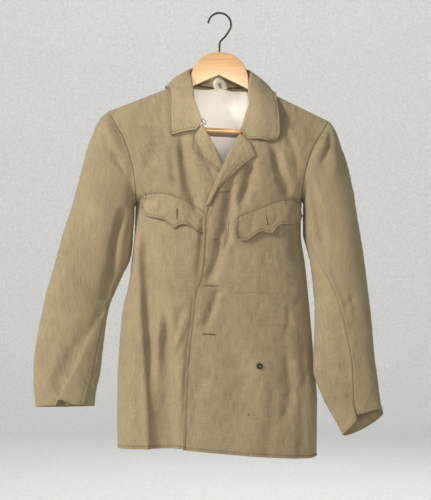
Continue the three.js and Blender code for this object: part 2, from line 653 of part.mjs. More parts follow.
// Pocket flaps: t runs from one end of the flap to the other.
const flapNames = ['t', 'x', 'z'];
const rightFlapTop = table(flapNames, [
  [0, -145, -352], [0.06, -138, -349.5], [0.25, -118, -349], [0.4, -99.5, -350.5], [0.56, -79, -358.5],
  [0.78, -49.5, -373], [1, -24, -390],
]);
const rightFlapFoot = table(flapNames, [
  [0, -147.5, -376], [0.03, -145.5, -388], [0.08, -140, -394.5], [0.22, -120, -400], [0.34, -106, -402.5],
  [0.42, -95.5, -412], [0.48, -87.5, -419], [0.56, -76, -413.5], [0.64, -66, -411.5], [0.76, -50, -420],
  [0.86, -39.5, -425], [1, -24, -429],
]);
const leftFlapTop = table(flapNames, [
  [0, 31.5, -400], [0.06, 37, -395], [0.22, 55, -387.5], [0.4, 76.5, -379], [0.58, 99, -369.5],
  [0.78, 124.5, -362.5], [0.94, 144, -364.5], [1, 151, -370],
]);
const leftFlapFoot = table(flapNames, [
  [0, 32, -425], [0.04, 35, -438.5], [0.1, 43, -444], [0.18, 53, -442], [0.28, 65, -433.5],
  [0.38, 79, -426], [0.48, 91, -428.5], [0.54, 98.5, -429], [0.6, 106, -420], [0.68, 116, -412.5],
  [0.82, 132, -411.5], [0.94, 148, -408.5], [1, 154.5, -394],
]);

const flapGrid = (side, top, foot) => span(5).map((down) => span(FLAP_COLUMNS).map((t) => {
  const x = mix(top(t).x, foot(t).x, down);
  const z = mix(top(t).z, foot(t).z, down);
  return onPanel(side.front, x, z, LIFT + DOUBLE + down);
}));
add('pocket_flap_right', wall(flapGrid(sides[1], rightFlapTop, rightFlapFoot), DOUBLE, 1), khaki);
add('pocket_flap_left', wall(flapGrid(sides[0], leftFlapTop, leftFlapFoot), DOUBLE, 1), khaki);

// The half lining inside the back, and the cream tape loop at the nape.
const LINED_TO = 0.38;
const LINED_SIDES = span(17).map((t) => mix(-0.62, 0.62, t));
const linedFrom = (side) => mix(0.004, 0.045, smooth(Math.abs(side) / NECK_AT));
const liningBase = span(10).map((q) => LINED_SIDES.map((side) => (
  backPanel(mix(linedFrom(side), LINED_TO, q), side))));
const liningNormals = gridNormals(liningBase, -1);
const liningGrid = liningBase.map((line, r) => line.map((p, c) => (
  p.clone().addScaledVector(liningNormals[r][c], -(CLOTH + LINING_AIR)))));
add('back_lining', wall(liningGrid, LINING, -1, liningNormals), ivory);

const LOOP_WIDTH = 8;
const loopPath = table(['t', 'x', 'y', 'z'], [
  [0, -4, 41, -145.4], [0.3, -8, 38.5, -132.5], [0.5, -2, 36.5, -126], [0.7, 6, 37.5, -130.5],
  [1, 10, 40.6, -144.4],
]);
const loopGrid = span(11).map((t) => {
  const p = point(loopPath(t));
  const along = point(loopPath(t + 0.02)).sub(point(loopPath(t - 0.02)));
  const over = vec(-along.z, 0, along.x).setLength(LOOP_WIDTH / 2);
  return [-1, 0, 1].map((k) => p.clone().addScaledVector(over, k));
});
add('hanger_loop', wall(loopGrid, 1.1, 1), tape);

// A wire eye sewn at the right side of the neck, and the blacked ring that holds the
// lowest front button.
const eye = new THREE.TorusGeometry(4.5, 0.6, 8, 20);
eye.scale(0.6, 1.35, 1);
eye.rotateX(Math.PI / 2).rotateY(-27 * DEG).translate(-29.9, -52, -213.4);
add('neck_eye', eye, darkSteel);

const button = { x: 76.5, z: -681.8, outer: 6, inner: 2.2, thick: 2.4 };
const buttonProfile = [[button.inner, 0], [button.outer - 0.6, 0], [button.outer, 0.7],
  [button.outer - 0.5, button.thick - 0.3], [4.2, button.thick], [button.inner + 0.4, 1.4],
  [button.inner, 0]];
const ring = new THREE.LatheGeometry(buttonProfile.map(([r, h]) => new THREE.Vector2(r, h)), 24);
ring.rotateX(Math.PI).translate(button.x, onPanel(frontLeft, button.x, button.z, 0.6).y, button.z);
add('front_ring_button', ring, blacked);

// The hanger: a flat wooden bow with a domed head, a lug under each arm for the bar,
// and a wire hook seated in the head.
const ARM_CLEAR = 3.85; // from the cloth's outer line down to the wood
const DOME = { z: -131, r: 56.5 };
const ARM_REACH = 203;
const LUG = { at: 150, half: 9, drop: 12 };
const BAR = { z: -228, tilt: -0.05, socket: 6 };
const armTop = (x) => shoulderLine(x) - ARM_CLEAR;
const armFoot = (x) => -119.5 - Math.abs(x + 1) * (x < 0 ? 0.427 : 0.495);
const barHeight = (x) => BAR.z + BAR.tilt * x;

function hangerOutline() {
  const shape = new THREE.Shape();
  const end = (x) => [x, (armTop(x) + armFoot(x)) / 2];
  shape.moveTo(-ARM_REACH, armTop(-ARM_REACH));
  shape.lineTo(-57, armTop(-57));
  for (let a = 178; a >= 6; a -= 8) {
    shape.lineTo(DOME.r * Math.cos(a * DEG), DOME.z + DOME.r * Math.sin(a * DEG));
  }
  shape.lineTo(57, armTop(57));
  shape.lineTo(ARM_REACH, armTop(ARM_REACH));
  shape.lineTo(...end(ARM_REACH + 5));
  const lug = (x, dir) => {
    shape.lineTo(x - dir * (LUG.half + 8), armFoot(x - dir * (LUG.half + 8)));
    shape.lineTo(x - dir * LUG.half, armFoot(x) - 8);
    shape.lineTo(x - dir * LUG.half, barHeight(x) - LUG.drop + 3);
    shape.lineTo(x - dir * (LUG.half - 4), barHeight(x) - LUG.drop);
    shape.lineTo(x + dir * (LUG.half - 4), barHeight(x) - LUG.drop);
    shape.lineTo(x + dir * LUG.half, barHeight(x) - LUG.drop + 3);
    shape.lineTo(x + dir * LUG.half, armFoot(x) - 8);
    shape.lineTo(x + dir * (LUG.half + 8), armFoot(x + dir * (LUG.half + 8)));
  };
  shape.lineTo(ARM_REACH, armFoot(ARM_REACH));
  lug(LUG.at, -1);
  shape.lineTo(-1, armFoot(-1));
  lug(-LUG.at, -1);
  shape.lineTo(-ARM_REACH, armFoot(-ARM_REACH));
  shape.lineTo(...end(-ARM_REACH - 5));
  shape.closePath();
  return shape;
}

const flat = (geometry) => {
  geometry.deleteAttribute('normal');
  geometry.deleteAttribute('uv');
  return mergeVertices(geometry, 1e-4);
};

function solid(geometry) {
  const merged = flat(geometry);
  return new wasm.Manifold(new wasm.Mesh({
    numProp: 3,
    vertProperties: Float32Array.from(merged.attributes.position.array),
    triVerts: Uint32Array.from(merged.index.array),
  }));
}

function fromSolid(manifold) {
  const mesh = manifold.getMesh();
  const geometry = new THREE.BufferGeometry();
  geometry.setAttribute('position', new THREE.BufferAttribute(mesh.vertProperties, 3));
  geometry.setIndex(new THREE.BufferAttribute(mesh.triVerts, 1));
  return geometry;
}

const bevel = { bevelEnabled: true, bevelThickness: 1.2, bevelSize: 1, bevelOffset: -1, bevelSegments: 1 };
const board = new THREE.ExtrudeGeometry(hangerOutline(), { depth: HANGER_THICK - 2.4, ...bevel });
board.rotateX(Math.PI / 2).translate(0, HANGER_THICK / 2 - 1.2, 0);

const barTurn = new THREE.Matrix4().makeRotationY(-Math.atan(BAR.tilt));
const alongBar = (diameter, from, to) => {
  const rod = new THREE.CylinderGeometry(diameter / 2, diameter / 2, to - from, 20);
  rod.rotateZ(Math.PI / 2).translate((from + to) / 2, 0, 0).applyMatrix4(barTurn);
  return rod.translate(0, 0, BAR.z);
};
const socketFrom = LUG.at - LUG.half - 2;
const socketTo = LUG.at - LUG.half + BAR.socket;
const stemSocket = new THREE.CylinderGeometry(HOOK_WIRE / 2 + 0.35, HOOK_WIRE / 2 + 0.35, 60, 20);
stemSocket.rotateX(Math.PI / 2).translate(0, 0, -72);
const head = solid(board)
  .subtract(solid(alongBar(BAR_DIAMETER + 0.7, socketFrom, socketTo)))
  .subtract(solid(alongBar(BAR_DIAMETER + 0.7, -socketTo, -socketFrom)))
  .subtract(solid(stemSocket));
add('hanger', fromSolid(head), wood);
add('trouser_bar', alongBar(BAR_DIAMETER, 0.4 - socketTo, socketTo - 0.4), wood);

const hookBend = (a) => {
  const round = vec(HOOK_RADIUS * Math.cos(a * DEG), 0, HOOK_RADIUS * Math.sin(a * DEG));
  return round.setZ(round.z + HOOK_WIRE / 2 - HOOK_RADIUS);
};
const hookPath = new THREE.CatmullRomCurve3([
  vec(0, 0, -101), vec(0, 0, -80), vec(0, 0, -62), vec(0.6, 0, -56), vec(4, 0, -51), vec(10.5, 0, -44.5),
  ...Array.from({ length: 12 }, (_, i) => hookBend(-38 + i * 19.6)),
], false, 'centripetal');
const wire = new THREE.Shape().absarc(0, 0, HOOK_WIRE / 2, 0, 2 * Math.PI);
const bent = new THREE.ExtrudeGeometry(wire, { steps: 56, curveSegments: 5, extrudePath: hookPath });
add('hanger_hook', bent, darkSteel);

export default jacket;
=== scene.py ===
"""A military uniform jacket hanging open at the neck on a wooden hanger.

Lengths in the tables are millimetres, +X to the viewer's right, +Z up, the front of the jacket
toward -Y, and the origin inside the top of the hanger's hook. "Left" and "right" are the wearer's.
"""

import json
import math
from functools import lru_cache, partial

import bmesh
import bpy
import numpy as np
from bpy.props import FloatProperty, FloatVectorProperty, PointerProperty
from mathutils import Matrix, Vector

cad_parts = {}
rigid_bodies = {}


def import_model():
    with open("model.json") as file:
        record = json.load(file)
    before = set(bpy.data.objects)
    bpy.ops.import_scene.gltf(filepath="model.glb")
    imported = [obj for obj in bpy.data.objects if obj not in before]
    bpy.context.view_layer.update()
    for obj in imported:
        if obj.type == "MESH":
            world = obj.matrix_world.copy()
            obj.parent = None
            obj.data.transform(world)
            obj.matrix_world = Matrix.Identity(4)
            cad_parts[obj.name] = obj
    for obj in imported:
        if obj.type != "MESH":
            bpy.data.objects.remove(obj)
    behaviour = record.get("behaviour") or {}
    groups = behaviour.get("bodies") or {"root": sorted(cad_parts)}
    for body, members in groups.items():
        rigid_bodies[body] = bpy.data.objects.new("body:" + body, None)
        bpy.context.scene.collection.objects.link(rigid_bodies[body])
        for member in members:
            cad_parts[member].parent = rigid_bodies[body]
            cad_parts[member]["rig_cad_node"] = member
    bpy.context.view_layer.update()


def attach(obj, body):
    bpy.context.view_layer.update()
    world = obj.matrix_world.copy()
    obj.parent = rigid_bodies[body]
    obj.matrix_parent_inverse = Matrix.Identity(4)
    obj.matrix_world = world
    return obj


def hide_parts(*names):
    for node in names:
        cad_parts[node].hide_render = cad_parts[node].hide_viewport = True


bl_info = {
    "name": "Uniform jacket on a hanger",
    "version": (1, 0, 0),
    "blender": (4, 5, 0),
    "location": "View3D > Sidebar > Jacket",
    "description": "Cuts, hangs, stitches and finishes a khaki uniform jacket and its wooden hanger",
    "category": "Object",
}

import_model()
MM = 0.001

# Driving sizes, mm
WRAP = 3.5  # how far a front's edge lies inside the collar's and the lapel's wrap
LIFT = 1.2  # air under what lies on a front
DOUBLE = 2.0  # the doubled cloth of collar, lapels and flaps, as the lift allows for it
ROLL = 2.6  # radius of the collar's roll
RIDGE = -106  # height of the two shoulder lines where they would meet

# Places on the panels: shares of the way down, or out to the side
ARMPIT = 0.355
NAPE_END = 0.15
NECK_AT = 2 / 7

# How square the panels' sections are, 2 being an ellipse
FRONT_CURVE = 2.6
BACK_CURVE = 2.9


# Small maths on whole arrays


def mix(a, b, t):
    return a + (b - a) * t


def smooth(t):
    """0 below 0, 1 above 1, and an S curve between."""
    u = np.clip(t, 0, 1)
    return u * u * (3 - 2 * u)


def bell(d, width):
    """1 where d is 0, falling away as a bell curve."""
    return np.exp(-((d / width) ** 2))


def unit(v):
    return v / np.maximum(np.linalg.norm(v, axis=-1, keepdims=True), 1e-9)


def around(count):
    """Angles once round a circle."""
    return np.linspace(0, 2 * np.pi, count, endpoint=False)


def grid(rows, columns):
    """Two arrays, rows down and columns across."""
    return np.meshgrid(rows, columns, indexing="ij")


def cubic(p, m, q, n, u):
    """From p with slope m, where u is 0, to q with slope n, where u is 1."""
    start = (2 * u**3 - 3 * u**2 + 1) * p + (u**3 - 2 * u**2 + u) * m
    return start + (3 * u**2 - 2 * u**3) * q + (u**3 - u**2) * n


class Curve:
    """Smooth curves through a table's rows: cubics whose slopes are harmonic means, so that no
    curve swings past its rows. The first column is where, and the others are what."""

    def __init__(self, *rows):
        data = np.array(rows, float)
        self.at = data[:, 0]
        self.value = data[:, 1:]
        step = np.diff(self.value, axis=0) / np.diff(self.at)[:, None]
        before, after = step[:-1], step[1:]
        same = before * after > 0
        total = np.where(same, before + after, 1)
        middle = np.where(same, 2 * before * after / total, 0)
        self.slope = np.vstack([step[:1], middle, step[-1:]])

    def __call__(self, s):
        s = np.clip(np.asarray(s, float), self.at[0], self.at[-1])
        i = np.clip(np.searchsorted(self.at, s, side="right") - 1, 0, len(self.at) - 2)
        h = (self.at[i + 1] - self.at[i])[..., None]
        u = (s - self.at[i])[..., None] / h
        return cubic(self.value[i], self.slope[i] * h, self.value[i + 1], self.slope[i + 1] * h, u)


def through(points, count):
    """Smooth rows of count points through rows of a few control points, spaced by their chords."""
    steps = np.linalg.norm(np.diff(points, axis=1), axis=2).mean(axis=0) ** 0.7
    at = np.concatenate([[0], np.cumsum(steps)])
    slope = np.gradient(points, at, axis=1)
    s = np.linspace(0, at[-1], count)
    i = np.clip(np.searchsorted(at, s, side="right") - 1, 0, len(at) - 2)
    h = (at[i + 1] - at[i])[None, :, None]
    u = ((s - at[i]) / (at[i + 1] - at[i]))[None, :, None]
    return cubic(points[:, i], slope[:, i] * h, points[:, i + 1], slope[:, i + 1] * h, u)


def unevenness(x, z, size, seed):
    """Soft, aimless ups and downs about size mm across: crossing waves, each bent by another."""
    rng = np.random.default_rng(seed)
    total = np.zeros(np.broadcast(x, z).shape)
    for _ in range(7):
        turn, other = rng.uniform(0, 2 * np.pi, 2)
        wave = size * rng.uniform(0.7, 1.7)
        bend = np.sin((x * np.cos(other) + z * np.sin(other)) * 2 * np.pi / (2.3 * wave) + turn)
        along = x * np.cos(turn) + z * np.sin(turn)
        total += np.sin(along * 2 * np.pi / wave + other + 1.4 * bend)
    return total / 7**0.5


def spaced(length, edge=14, coarse=3.4):
    """Stations from 0 to 1 along a length, close together near both ends, where cloth is stitched."""
    fine = np.array([0, 0.4, 0.9, 1.6, 2.4, 3.2, 4, 4.8, 5.6, 6.4, 7.3, 8.5, 10, 12])
    fine = fine[fine < edge]
    room = length - 2 * edge
    middle = np.linspace(edge, length - edge, max(3, round(room / coarse)))
    return np.concatenate([fine, middle, length - fine[::-1]]) / length


# Creases. A row is a line in the front view, from x0, z0 by way of x1, z1 to x2, z2, its width at
# each end, how deep it goes in (or out, below 0), and its lean, which makes its left side steeper
# (below 0) or its right side steeper (above 0).


def creases(table, x, z):
    """How deep a set of creases goes at x, z: each a bell curve across its line, fading at its
    ends unless it runs out through the hem."""
    depth = np.zeros(np.broadcast(x, z).shape)
    for x0, z0, x1, z1, x2, z2, w0, w2, deep, *lean in table:
        best = np.full(depth.shape, np.inf)
        along = np.zeros(depth.shape)
        side = np.zeros(depth.shape)
        for k, (ax, az, bx, bz) in enumerate(((x0, z0, x1, z1), (x1, z1, x2, z2))):
            dx, dz = bx - ax, bz - az
            u = np.clip(((x - ax) * dx + (z - az) * dz) / (dx * dx + dz * dz), 0, 1)
            away = np.hypot(x - ax - u * dx, z - az - u * dz)
            nearer = away < best
            best = np.where(nearer, away, best)
            along = np.where(nearer, (k + u) / 2, along)
            side = np.where(nearer, np.sign((x - ax) * dz - (z - az) * dx), side)
        width = mix(w0, w2, along)
        if lean:
            width = width * (1 + lean[0] * side)
        ends = smooth(along / 0.25)
        if z2 > -830:
            ends = ends * smooth((1 - along) / 0.25)
        depth += deep * ends * bell(best, width)
    return depth


# The body: each table's columns are s, x, y, z

LEFT_INNER = Curve(
    (0, 61.3, 0, -135.7), (0.01, 61, -8, -137.5), (0.022, 60.5, -15, -147), (0.05, 60, -27, -170.5),
    (0.095, 52.5, -41, -197.5), (0.15, 42.5, -54, -233), (0.225, 18, -68, -278),
    (0.3, -5, -75.5, -327), (0.345, -21, -77.5, -365), (0.385, -30, -78.5, -397),
    (0.465, -32.5, -79, -458.5), (0.54, -38, -79, -511.5), (0.585, -50, -79, -544),
    (0.655, -55.5, -79, -597.5), (0.78, -65, -79, -689), (0.885, -68, -78.5, -765.5),
    (1, -71, -77.5, -842.5),
)
LEFT_OUTER = Curve(
    (0, 214.5, 0, -210), (0.01, 212.5, -7, -211.5), (0.022, 207.5, -14.5, -219.5),
    (0.05, 197, -26, -236), (0.12, 182, -40, -261.5), (0.18, 172, -47, -287),
    (0.245, 164, -47, -318), (0.3, 160.5, -38, -342.5), (0.335, 160, -22, -358.5),
    (0.355, 160, 0, -366.5), (0.385, 158.5, 0, -388), (0.43, 158, 0, -425), (0.51, 166, 0, -485.5),
    (0.605, 173.5, 0, -557.5), (0.745, 182.5, 0, -659), (0.87, 189.5, 0, -756.5), (1, 189, 0, -861),
)
RIGHT_INNER = Curve(
    (0, -62.3, 0, -130.1), (0.01, -61.5, -8, -132), (0.022, -60.5, -15, -142),
    (0.05, -54.5, -26, -166), (0.09, -45.5, -38, -187.5), (0.13, -36.5, -47, -212),
    (0.19, -20.5, -54, -249), (0.25, -1, -58.5, -285), (0.295, 12.5, -60.5, -313),
    (0.335, 18, -62.5, -345.5), (0.39, 19, -65.5, -397), (0.47, 16, -69.5, -458.5),
    (0.56, 6.5, -71.5, -527), (0.72, -14.5, -71.5, -645.5), (0.9, -23, -71, -775.5),
    (1, -24, -70, -842.5),
)
RIGHT_OUTER = Curve(
    (0, -218, 0, -190.5), (0.01, -216, -7, -192.2), (0.022, -210.5, -14.5, -199.5),
    (0.05, -200, -25, -216.5), (0.12, -182.5, -40, -249), (0.18, -171.5, -47, -281.5),
    (0.245, -164, -47, -316), (0.3, -162, -38, -344.5), (0.335, -162, -22, -361.5),
    (0.355, -163, 0, -370.5), (0.43, -165, 0, -425), (0.535, -173.5, 0, -504),
    (0.585, -179, 0, -540), (0.615, -186, 0, -563.5), (0.67, -191.5, 0, -604.5),
    (0.785, -197.5, 0, -691.5), (0.925, -199.5, 0, -792.5), (1, -198, 0, -845),
)
BACK_CENTRE = Curve(
    (0, 0, 0, -106), (0.01, 0, 12, -107.5), (0.022, 0, 25, -112.5), (0.04, 0, 38, -126),
    (0.06, 0, 46, -142), (0.095, 0, 52, -172), (0.15, -1, 56, -220), (0.25, -1, 58, -304),
    (0.355, -2, 58, -392), (0.5, -3, 57, -505), (0.65, -4, 58, -620), (0.8, -4.5, 61, -735),
    (1, -4.5, 64, -853),
)
NAPE_DIP = Curve((0, 0.06), (1 / 14, 0.053), (2 / 14, 0.037), (3 / 14, 0.019), (4 / 14, 0), (1, 0))

# The large folds, which the cut of the body follows
RIGHT_FOLDS = (
    (-150, -400, -137, -560, -126, -850, 12, 22, 9),
    (-146, -600, -139, -700, -134, -850, 8, 10, -4),
    (-104, -590, -104, -700, -108, -850, 10, 20, 7),
    (-76, -240, -64, -310, -34, -410, 12, 16, 4),
)
LEFT_FOLDS = (
    (18, -330, 6, -430, -26, -530, 10, 14, 3.2),
    (-4, -530, -14, -570, -32, -620, 10, 12, 3),
    (100, -255, 118, -325, 138, -362, 10, 12, 4),
    (62, -290, 53, -335, 36, -385, 10, 14, 3.5),
    (120, -600, 128, -700, 120, -860, 22, 30, 4),
    (20, -640, 30, -740, 26, -860, 26, 34, 3),
)

# Finer creases, placed one by one
RIGHT_CREASES = (
    (-152, -350, -138, -560, -130, -800, 9, 12, 11),
    (-162, -400, -149, -600, -137, -850, 8, 7, -3.6),
    (-105, -562, -101, -700, -97, -860, 4, 28, 15, 0.1),
    (-148, -352, -152, -380, -146, -430, 6, 9, 3.5),
    (-76, -228, -62, -322, -36, -412, 7, 12, 9),
    (-30, -378, -34, -460, -41, -532, 5, 6, 6, 0.3),
    (-42, -522, -60, -660, -73, -850, 5, 5, 4.5, 0.3),
    (-118, -235, -126, -272, -138, -310, 7, 11, 2.4),
    (-96, -255, -90, -300, -84, -346, 7, 10, 1.8, 0.3),
    (-54, -196, -46, -240, -22, -300, 4, 7, 2.6),
    (-40, -250, -26, -290, -8, -330, 4, 6, 2.4, -0.3),
    (-168, -212, -140, -222, -108, -214, 6, 9, 1.2),
    (-70, -560, -82, -610, -98, -650, 6, 8, 4),
    (-56, -598, -72, -640, -88, -672, 4, 6, 3),
    (-62, -640, -80, -690, -92, -742, 5, 8, 2),
    (-160, -690, -158, -760, -158, -830, 7, 10, 2),
    (-182, -640, -178, -720, -174, -800, 7, 10, 1.8),
    (-128, -430, -118, -500, -112, -560, 9, 12, 1.6),
)
LEFT_CREASES = (
    (27, -306, 16, -400, 3, -462, 9, 10, 9.5),
    (14, -412, 0, -466, -24, -532, 9, 9, 8),
    (36, -330, 30, -390, 20, -450, 7, 10, -1.6),
    (0, -528, -14, -568, -32, -620, 3, 4, 5.5),
    (9, -538, -3, -590, -18, -630, 5, 8, -1.4),
    (99, -246, 118, -318, 140, -362, 8, 10, 8.5),
    (118, -262, 134, -318, 150, -352, 7, 9, -1.8),
    (65, -284, 55, -330, 35, -390, 7, 9, 7),
    (78, -262, 76, -310, 84, -356, 7, 9, -1.6),
    (134, -232, 144, -268, 154, -318, 5, 8, 2.6),
    (112, -212, 128, -236, 140, -262, 6, 8, 1.6),
    (30, -440, 26, -490, 16, -520, 6, 8, 1.6),
    (84, -452, 92, -510, 86, -560, 10, 14, 1.8),
    (134, -408, 142, -450, 148, -500, 6, 10, 2.6),
    (132, -560, 134, -600, 122, -622, 5, 5, 2.4),
    (128, -640, 138, -730, 124, -810, 9, 14, 5),
    (156, -600, 164, -700, 158, -860, 9, 13, 3.4),
    (98, -700, 102, -770, 92, -850, 8, 12, 3),
    (-36, -636, -28, -680, -44, -742, 6, 9, 1.8),
    (-14, -640, -22, -700, -48, -760, 5, 8, 1.6),
    (40, -640, 46, -740, 34, -820, 14, 18, 1.6),
    (-52, -700, -46, -770, -56, -830, 7, 10, 1.6),
)
BACK_CREASES = (
    (-150, -330, -120, -400, -70, -470, 8, 14, 3),
    (148, -340, 116, -410, 66, -480, 8, 14, 3),
    (-90, -150, -110, -230, -140, -300, 9, 14, 2.4),
    (92, -160, 108, -240, 136, -310, 9, 14, 2.2),
    (-120, -470, -104, -640, -98, -860, 14, 24, 4),
    (118, -480, 104, -660, 108, -860, 14, 24, 4),
    (-50, -560, -44, -700, -40, -860, 16, 24, 2.4),
    (52, -540, 48, -700, 54, -860, 16, 24, 2.4),
    (-40, -190, 0, -204, 42, -192, 8, 8, 0.9),
    (-30, -216, 4, -226, 36, -218, 6, 6, 1),
    (-160, -560, -156, -700, -160, -860, 10, 16, 2),
    (158, -560, 160, -700, 162, -860, 10, 16, 2),
)
LINING_CREASES = (
    (-30, -150, -18, -200, -24, -300, 5, 9, 1.6),
    (24, -160, 16, -220, 22, -320, 6, 9, 1.5),
    (-6, -148, 2, -190, -2, -250, 4, 6, -1),
)


def wrapped(s):
    """1 along the neck and the roll line, where the front's edge lies inside the collar's wrap."""
    return smooth(s / 0.02) * (1 - smooth((s - 0.345) / 0.03))


def across(inner, outer, power, t):
    """A row across a panel: an arc of a superellipse that is widest at the side seam's plane and
    ends where its own outer point lies on that arc."""

    def height(f):
        return np.maximum(0, 1 - f**power) ** (1 / power)

    ratio = np.divide(outer[..., 1], inner[..., 1], out=np.zeros_like(t), where=inner[..., 1] != 0)
    end = np.clip(height(np.clip(ratio, 0, 1)), 0.2, 1)
    f = np.sin(t * np.arcsin(end))
    depth = (height(f) - height(end)) / (1 - height(end))
    share = f / end
    x = mix(inner[..., 0], outer[..., 0], share)
    y = mix(outer[..., 1], inner[..., 1], depth)
    return np.stack([x, y, mix(inner[..., 2], outer[..., 2], share)], axis=-1)


FRONTS = {
    "left": (LEFT_INNER, LEFT_OUTER, LEFT_FOLDS, 4),
    "right": (RIGHT_INNER, RIGHT_OUTER, RIGHT_FOLDS, -1),
}
SIDE_SIGN = {"left": 1, "right": -1}  # also the order in which the two sides are made


def front_point(side, s, t):
    """A front: s from the shoulder down to the hem, t from its inner edge out to the side."""
    inner, outer, folds, sag = FRONTS[side]
    s, t = np.broadcast_arrays(np.asarray(s, float), np.asarray(t, float))
    edge, seam = inner(s), outer(s)
    edge = edge + unit(seam - edge) * (WRAP * wrapped(s))[..., None]
    p = across(edge, seam, FRONT_CURVE, t)
    p[..., 1] += creases(folds, p[..., 0], p[..., 2]) * smooth((1 - t) / 0.12)
    p[..., 2] -= sag * np.sin(np.pi * t) * smooth((s - 0.7) / 0.3)
    return p


def back_outer(outer, s):
    """The back's border at the armhole, a little farther out than the front's, then the side."""
    row = outer(s)
    out = np.where(s < ARMPIT, np.sin(np.pi * s / ARMPIT), 0)
    x = row[..., 0] + 5 * np.sign(row[..., 0]) * out
    return np.stack([x, -row[..., 1] * mix(1, 0.9, out), row[..., 2]], axis=-1)


def back_point(s, side):
    """The back: s down from the shoulder, side from -1 at the right seam to 1 at the left one."""
    s, side = np.broadcast_arrays(np.asarray(s, float), np.asarray(side, float))
    t = np.abs(side)
    top = np.where(t < NECK_AT, NAPE_DIP(t)[..., 0], 0)
    row = np.where(s < NAPE_END, top + s * (1 - top / NAPE_END), s)
    left = (side >= 0)[..., None]
    outer = np.where(left, back_outer(LEFT_OUTER, row), back_outer(RIGHT_OUTER, row))
    p = across(BACK_CENTRE(row), outer, BACK_CURVE, t)
    low = smooth((s - 0.7) / 0.3)
    p[..., 2] -= 3 * np.sin(np.pi * t) * low
    p[..., 1] -= 3 * bell(t, 0.1) * low
    return p


def locate(side, x, z):
    """The s and t of the point of a front behind a place in the front view, by Newton's method."""
    s = np.clip((-140 - z) / 710, 0.02, 0.98)
    t = np.full(s.shape, 0.4)
    step = 0.002
    for _ in range(24):
        p = front_point(side, s, t)
        ds = (front_point(side, s + step, t) - p) / step
        dt = (front_point(side, s, t + step) - p) / step
        det = ds[..., 0] * dt[..., 2] - ds[..., 2] * dt[..., 0]
        ex, ez = x - p[..., 0], z - p[..., 2]
        move_s = (ex * dt[..., 2] - ez * dt[..., 0]) / det
        move_t = (ez * ds[..., 0] - ex * ds[..., 2]) / det
        s = np.clip(s + np.clip(move_s, -0.1, 0.1), 0, 0.995)
        t = np.clip(t + np.clip(move_t, -0.1, 0.1), 0, 0.96)
    return s, t


# A surface of cloth


def normals_of(points, flip):
    """Unit normals of a grid, down its rows crossed with along them."""
    down = np.gradient(points, axis=0)
    along = np.gradient(points, axis=1)
    return unit(np.cross(down, along)) * flip


class Cloth:
    """A grid of outer points with their normals, and how far each lies from the grid's borders."""

    def __init__(self, points, flip):
        self.flip = flip
        self.points = points
        self.borders = {}
        # Where shade is painted into the colour along stitches and seams, 0 to 1
        self.nip = np.zeros(points.shape[:2])
        self.measure()

    def measure(self):
        self.normals = normals_of(self.points, self.flip)
        across_steps = np.linalg.norm(np.diff(self.points, axis=1), axis=2)
        down_steps = np.linalg.norm(np.diff(self.points, axis=0), axis=2)
        self.u = np.pad(np.cumsum(across_steps, axis=1), ((0, 0), (1, 0)))
        self.v = np.pad(np.cumsum(down_steps, axis=0), ((1, 0), (0, 0)))

    def raise_by(self, height):
        """Moves the points out along their normals."""
        self.points = self.points + self.normals * height[..., None]
        self.measure()
        return self

    def sew(self, borders, seed):
        """What sewing does to cloth near its borders. A "turned" border is folded under and
        stitched: it is puffed at the edge, pinched in along its stitches and puckered. A "sewn"
        border dips into its seam. The number is how far in the stitches run. Along both, shade is
        painted into the colour where the cloth dips."""
        self.borders = borders
        height = np.zeros(self.u.shape)
        self.nip = np.zeros(self.u.shape)
        for k, (border, (kind, inset)) in enumerate(borders.items()):
            d, along = self.distance(border)
            drift = 3 * np.sin(along / 23 + seed + k)
            pucker = np.sin(2 * np.pi * along / 9.5 + drift) * (0.6 + 0.4 * np.sin(along / 31 + k))
            if kind == "turned":
                puff = smooth(d / 1.2) * (1 - smooth((d - inset + 1.6) / 1.6))
                height += 0.65 * puff - 0.6 * bell(d - inset, 1.1)
                height += 0.42 * pucker * bell(d - inset, 4.5)
                # Painted shade: the stitch groove is darkened in the colour
                self.nip = np.maximum(self.nip, bell(d - inset, 0.9))
            elif kind == "felled":
                height += 0.5 * smooth(d / 1.4) * (1 - smooth((d - inset) / 5))
                height += 0.3 * pucker * bell(d - inset, 4)
            else:
                height += 0.3 * bell(d - 3.6, 1.6) - 0.5 * bell(d, 1.5)
                height += 0.34 * pucker * bell(d - 2, 7)
                # Painted shade: where the seam dips it is darkened in the colour
                self.nip = np.maximum(self.nip, 0.3 * bell(d, 1.2))
        return self.raise_by(height)

    def distance(self, border):
        """How far each point lies from a border, and how far along it."""
        if border == "start":
            return self.u, self.v
        if border == "end":
            return self.u[:, -1:] - self.u, self.v
        if border == "top":
            return self.v, self.u
        return self.v[-1:] - self.v, self.u

    def at(self, i, j):
        """Points and normals at fractional rows i and columns j."""
        rows, columns = self.points.shape[:2]
        i = np.clip(i, 0, rows - 1.001)
        j = np.clip(j, 0, columns - 1.001)
        a, b = i.astype(int), j.astype(int)
        p, q = (i - a)[..., None], (j - b)[..., None]

        def blend(grid_values):
            top = mix(grid_values[a, b], grid_values[a, b + 1], q)
            foot = mix(grid_values[a + 1, b], grid_values[a + 1, b + 1], q)
            return mix(top, foot, p)

        return blend(self.points), unit(blend(self.normals))

    def line(self, border, inset, start=0.0, end=1.0):
        """Points and normals along a line that stays inset from a border."""
        far, _ = self.distance(border)
        if border in ("top", "foot"):
            far = far.T
        if border in ("end", "foot"):
            far = far[:, ::-1]
        lines, count = far.shape
        below = np.clip((far < inset).sum(axis=1) - 1, 0, count - 2)
        pick = np.arange(lines)
        near, beyond = far[pick, below], far[pick, below + 1]
        cross = below + np.clip((inset - near) / np.maximum(beyond - near, 1e-6), 0, 1)
        if border in ("end", "foot"):
            cross = count - 1 - cross
        span = pick.astype(float)
        keep = (span >= start * (lines - 1)) & (span <= end * (lines - 1))
        if border in ("top", "foot"):
            return self.at(cross[keep], span[keep])
        return self.at(span[keep], cross[keep])


# Meshes


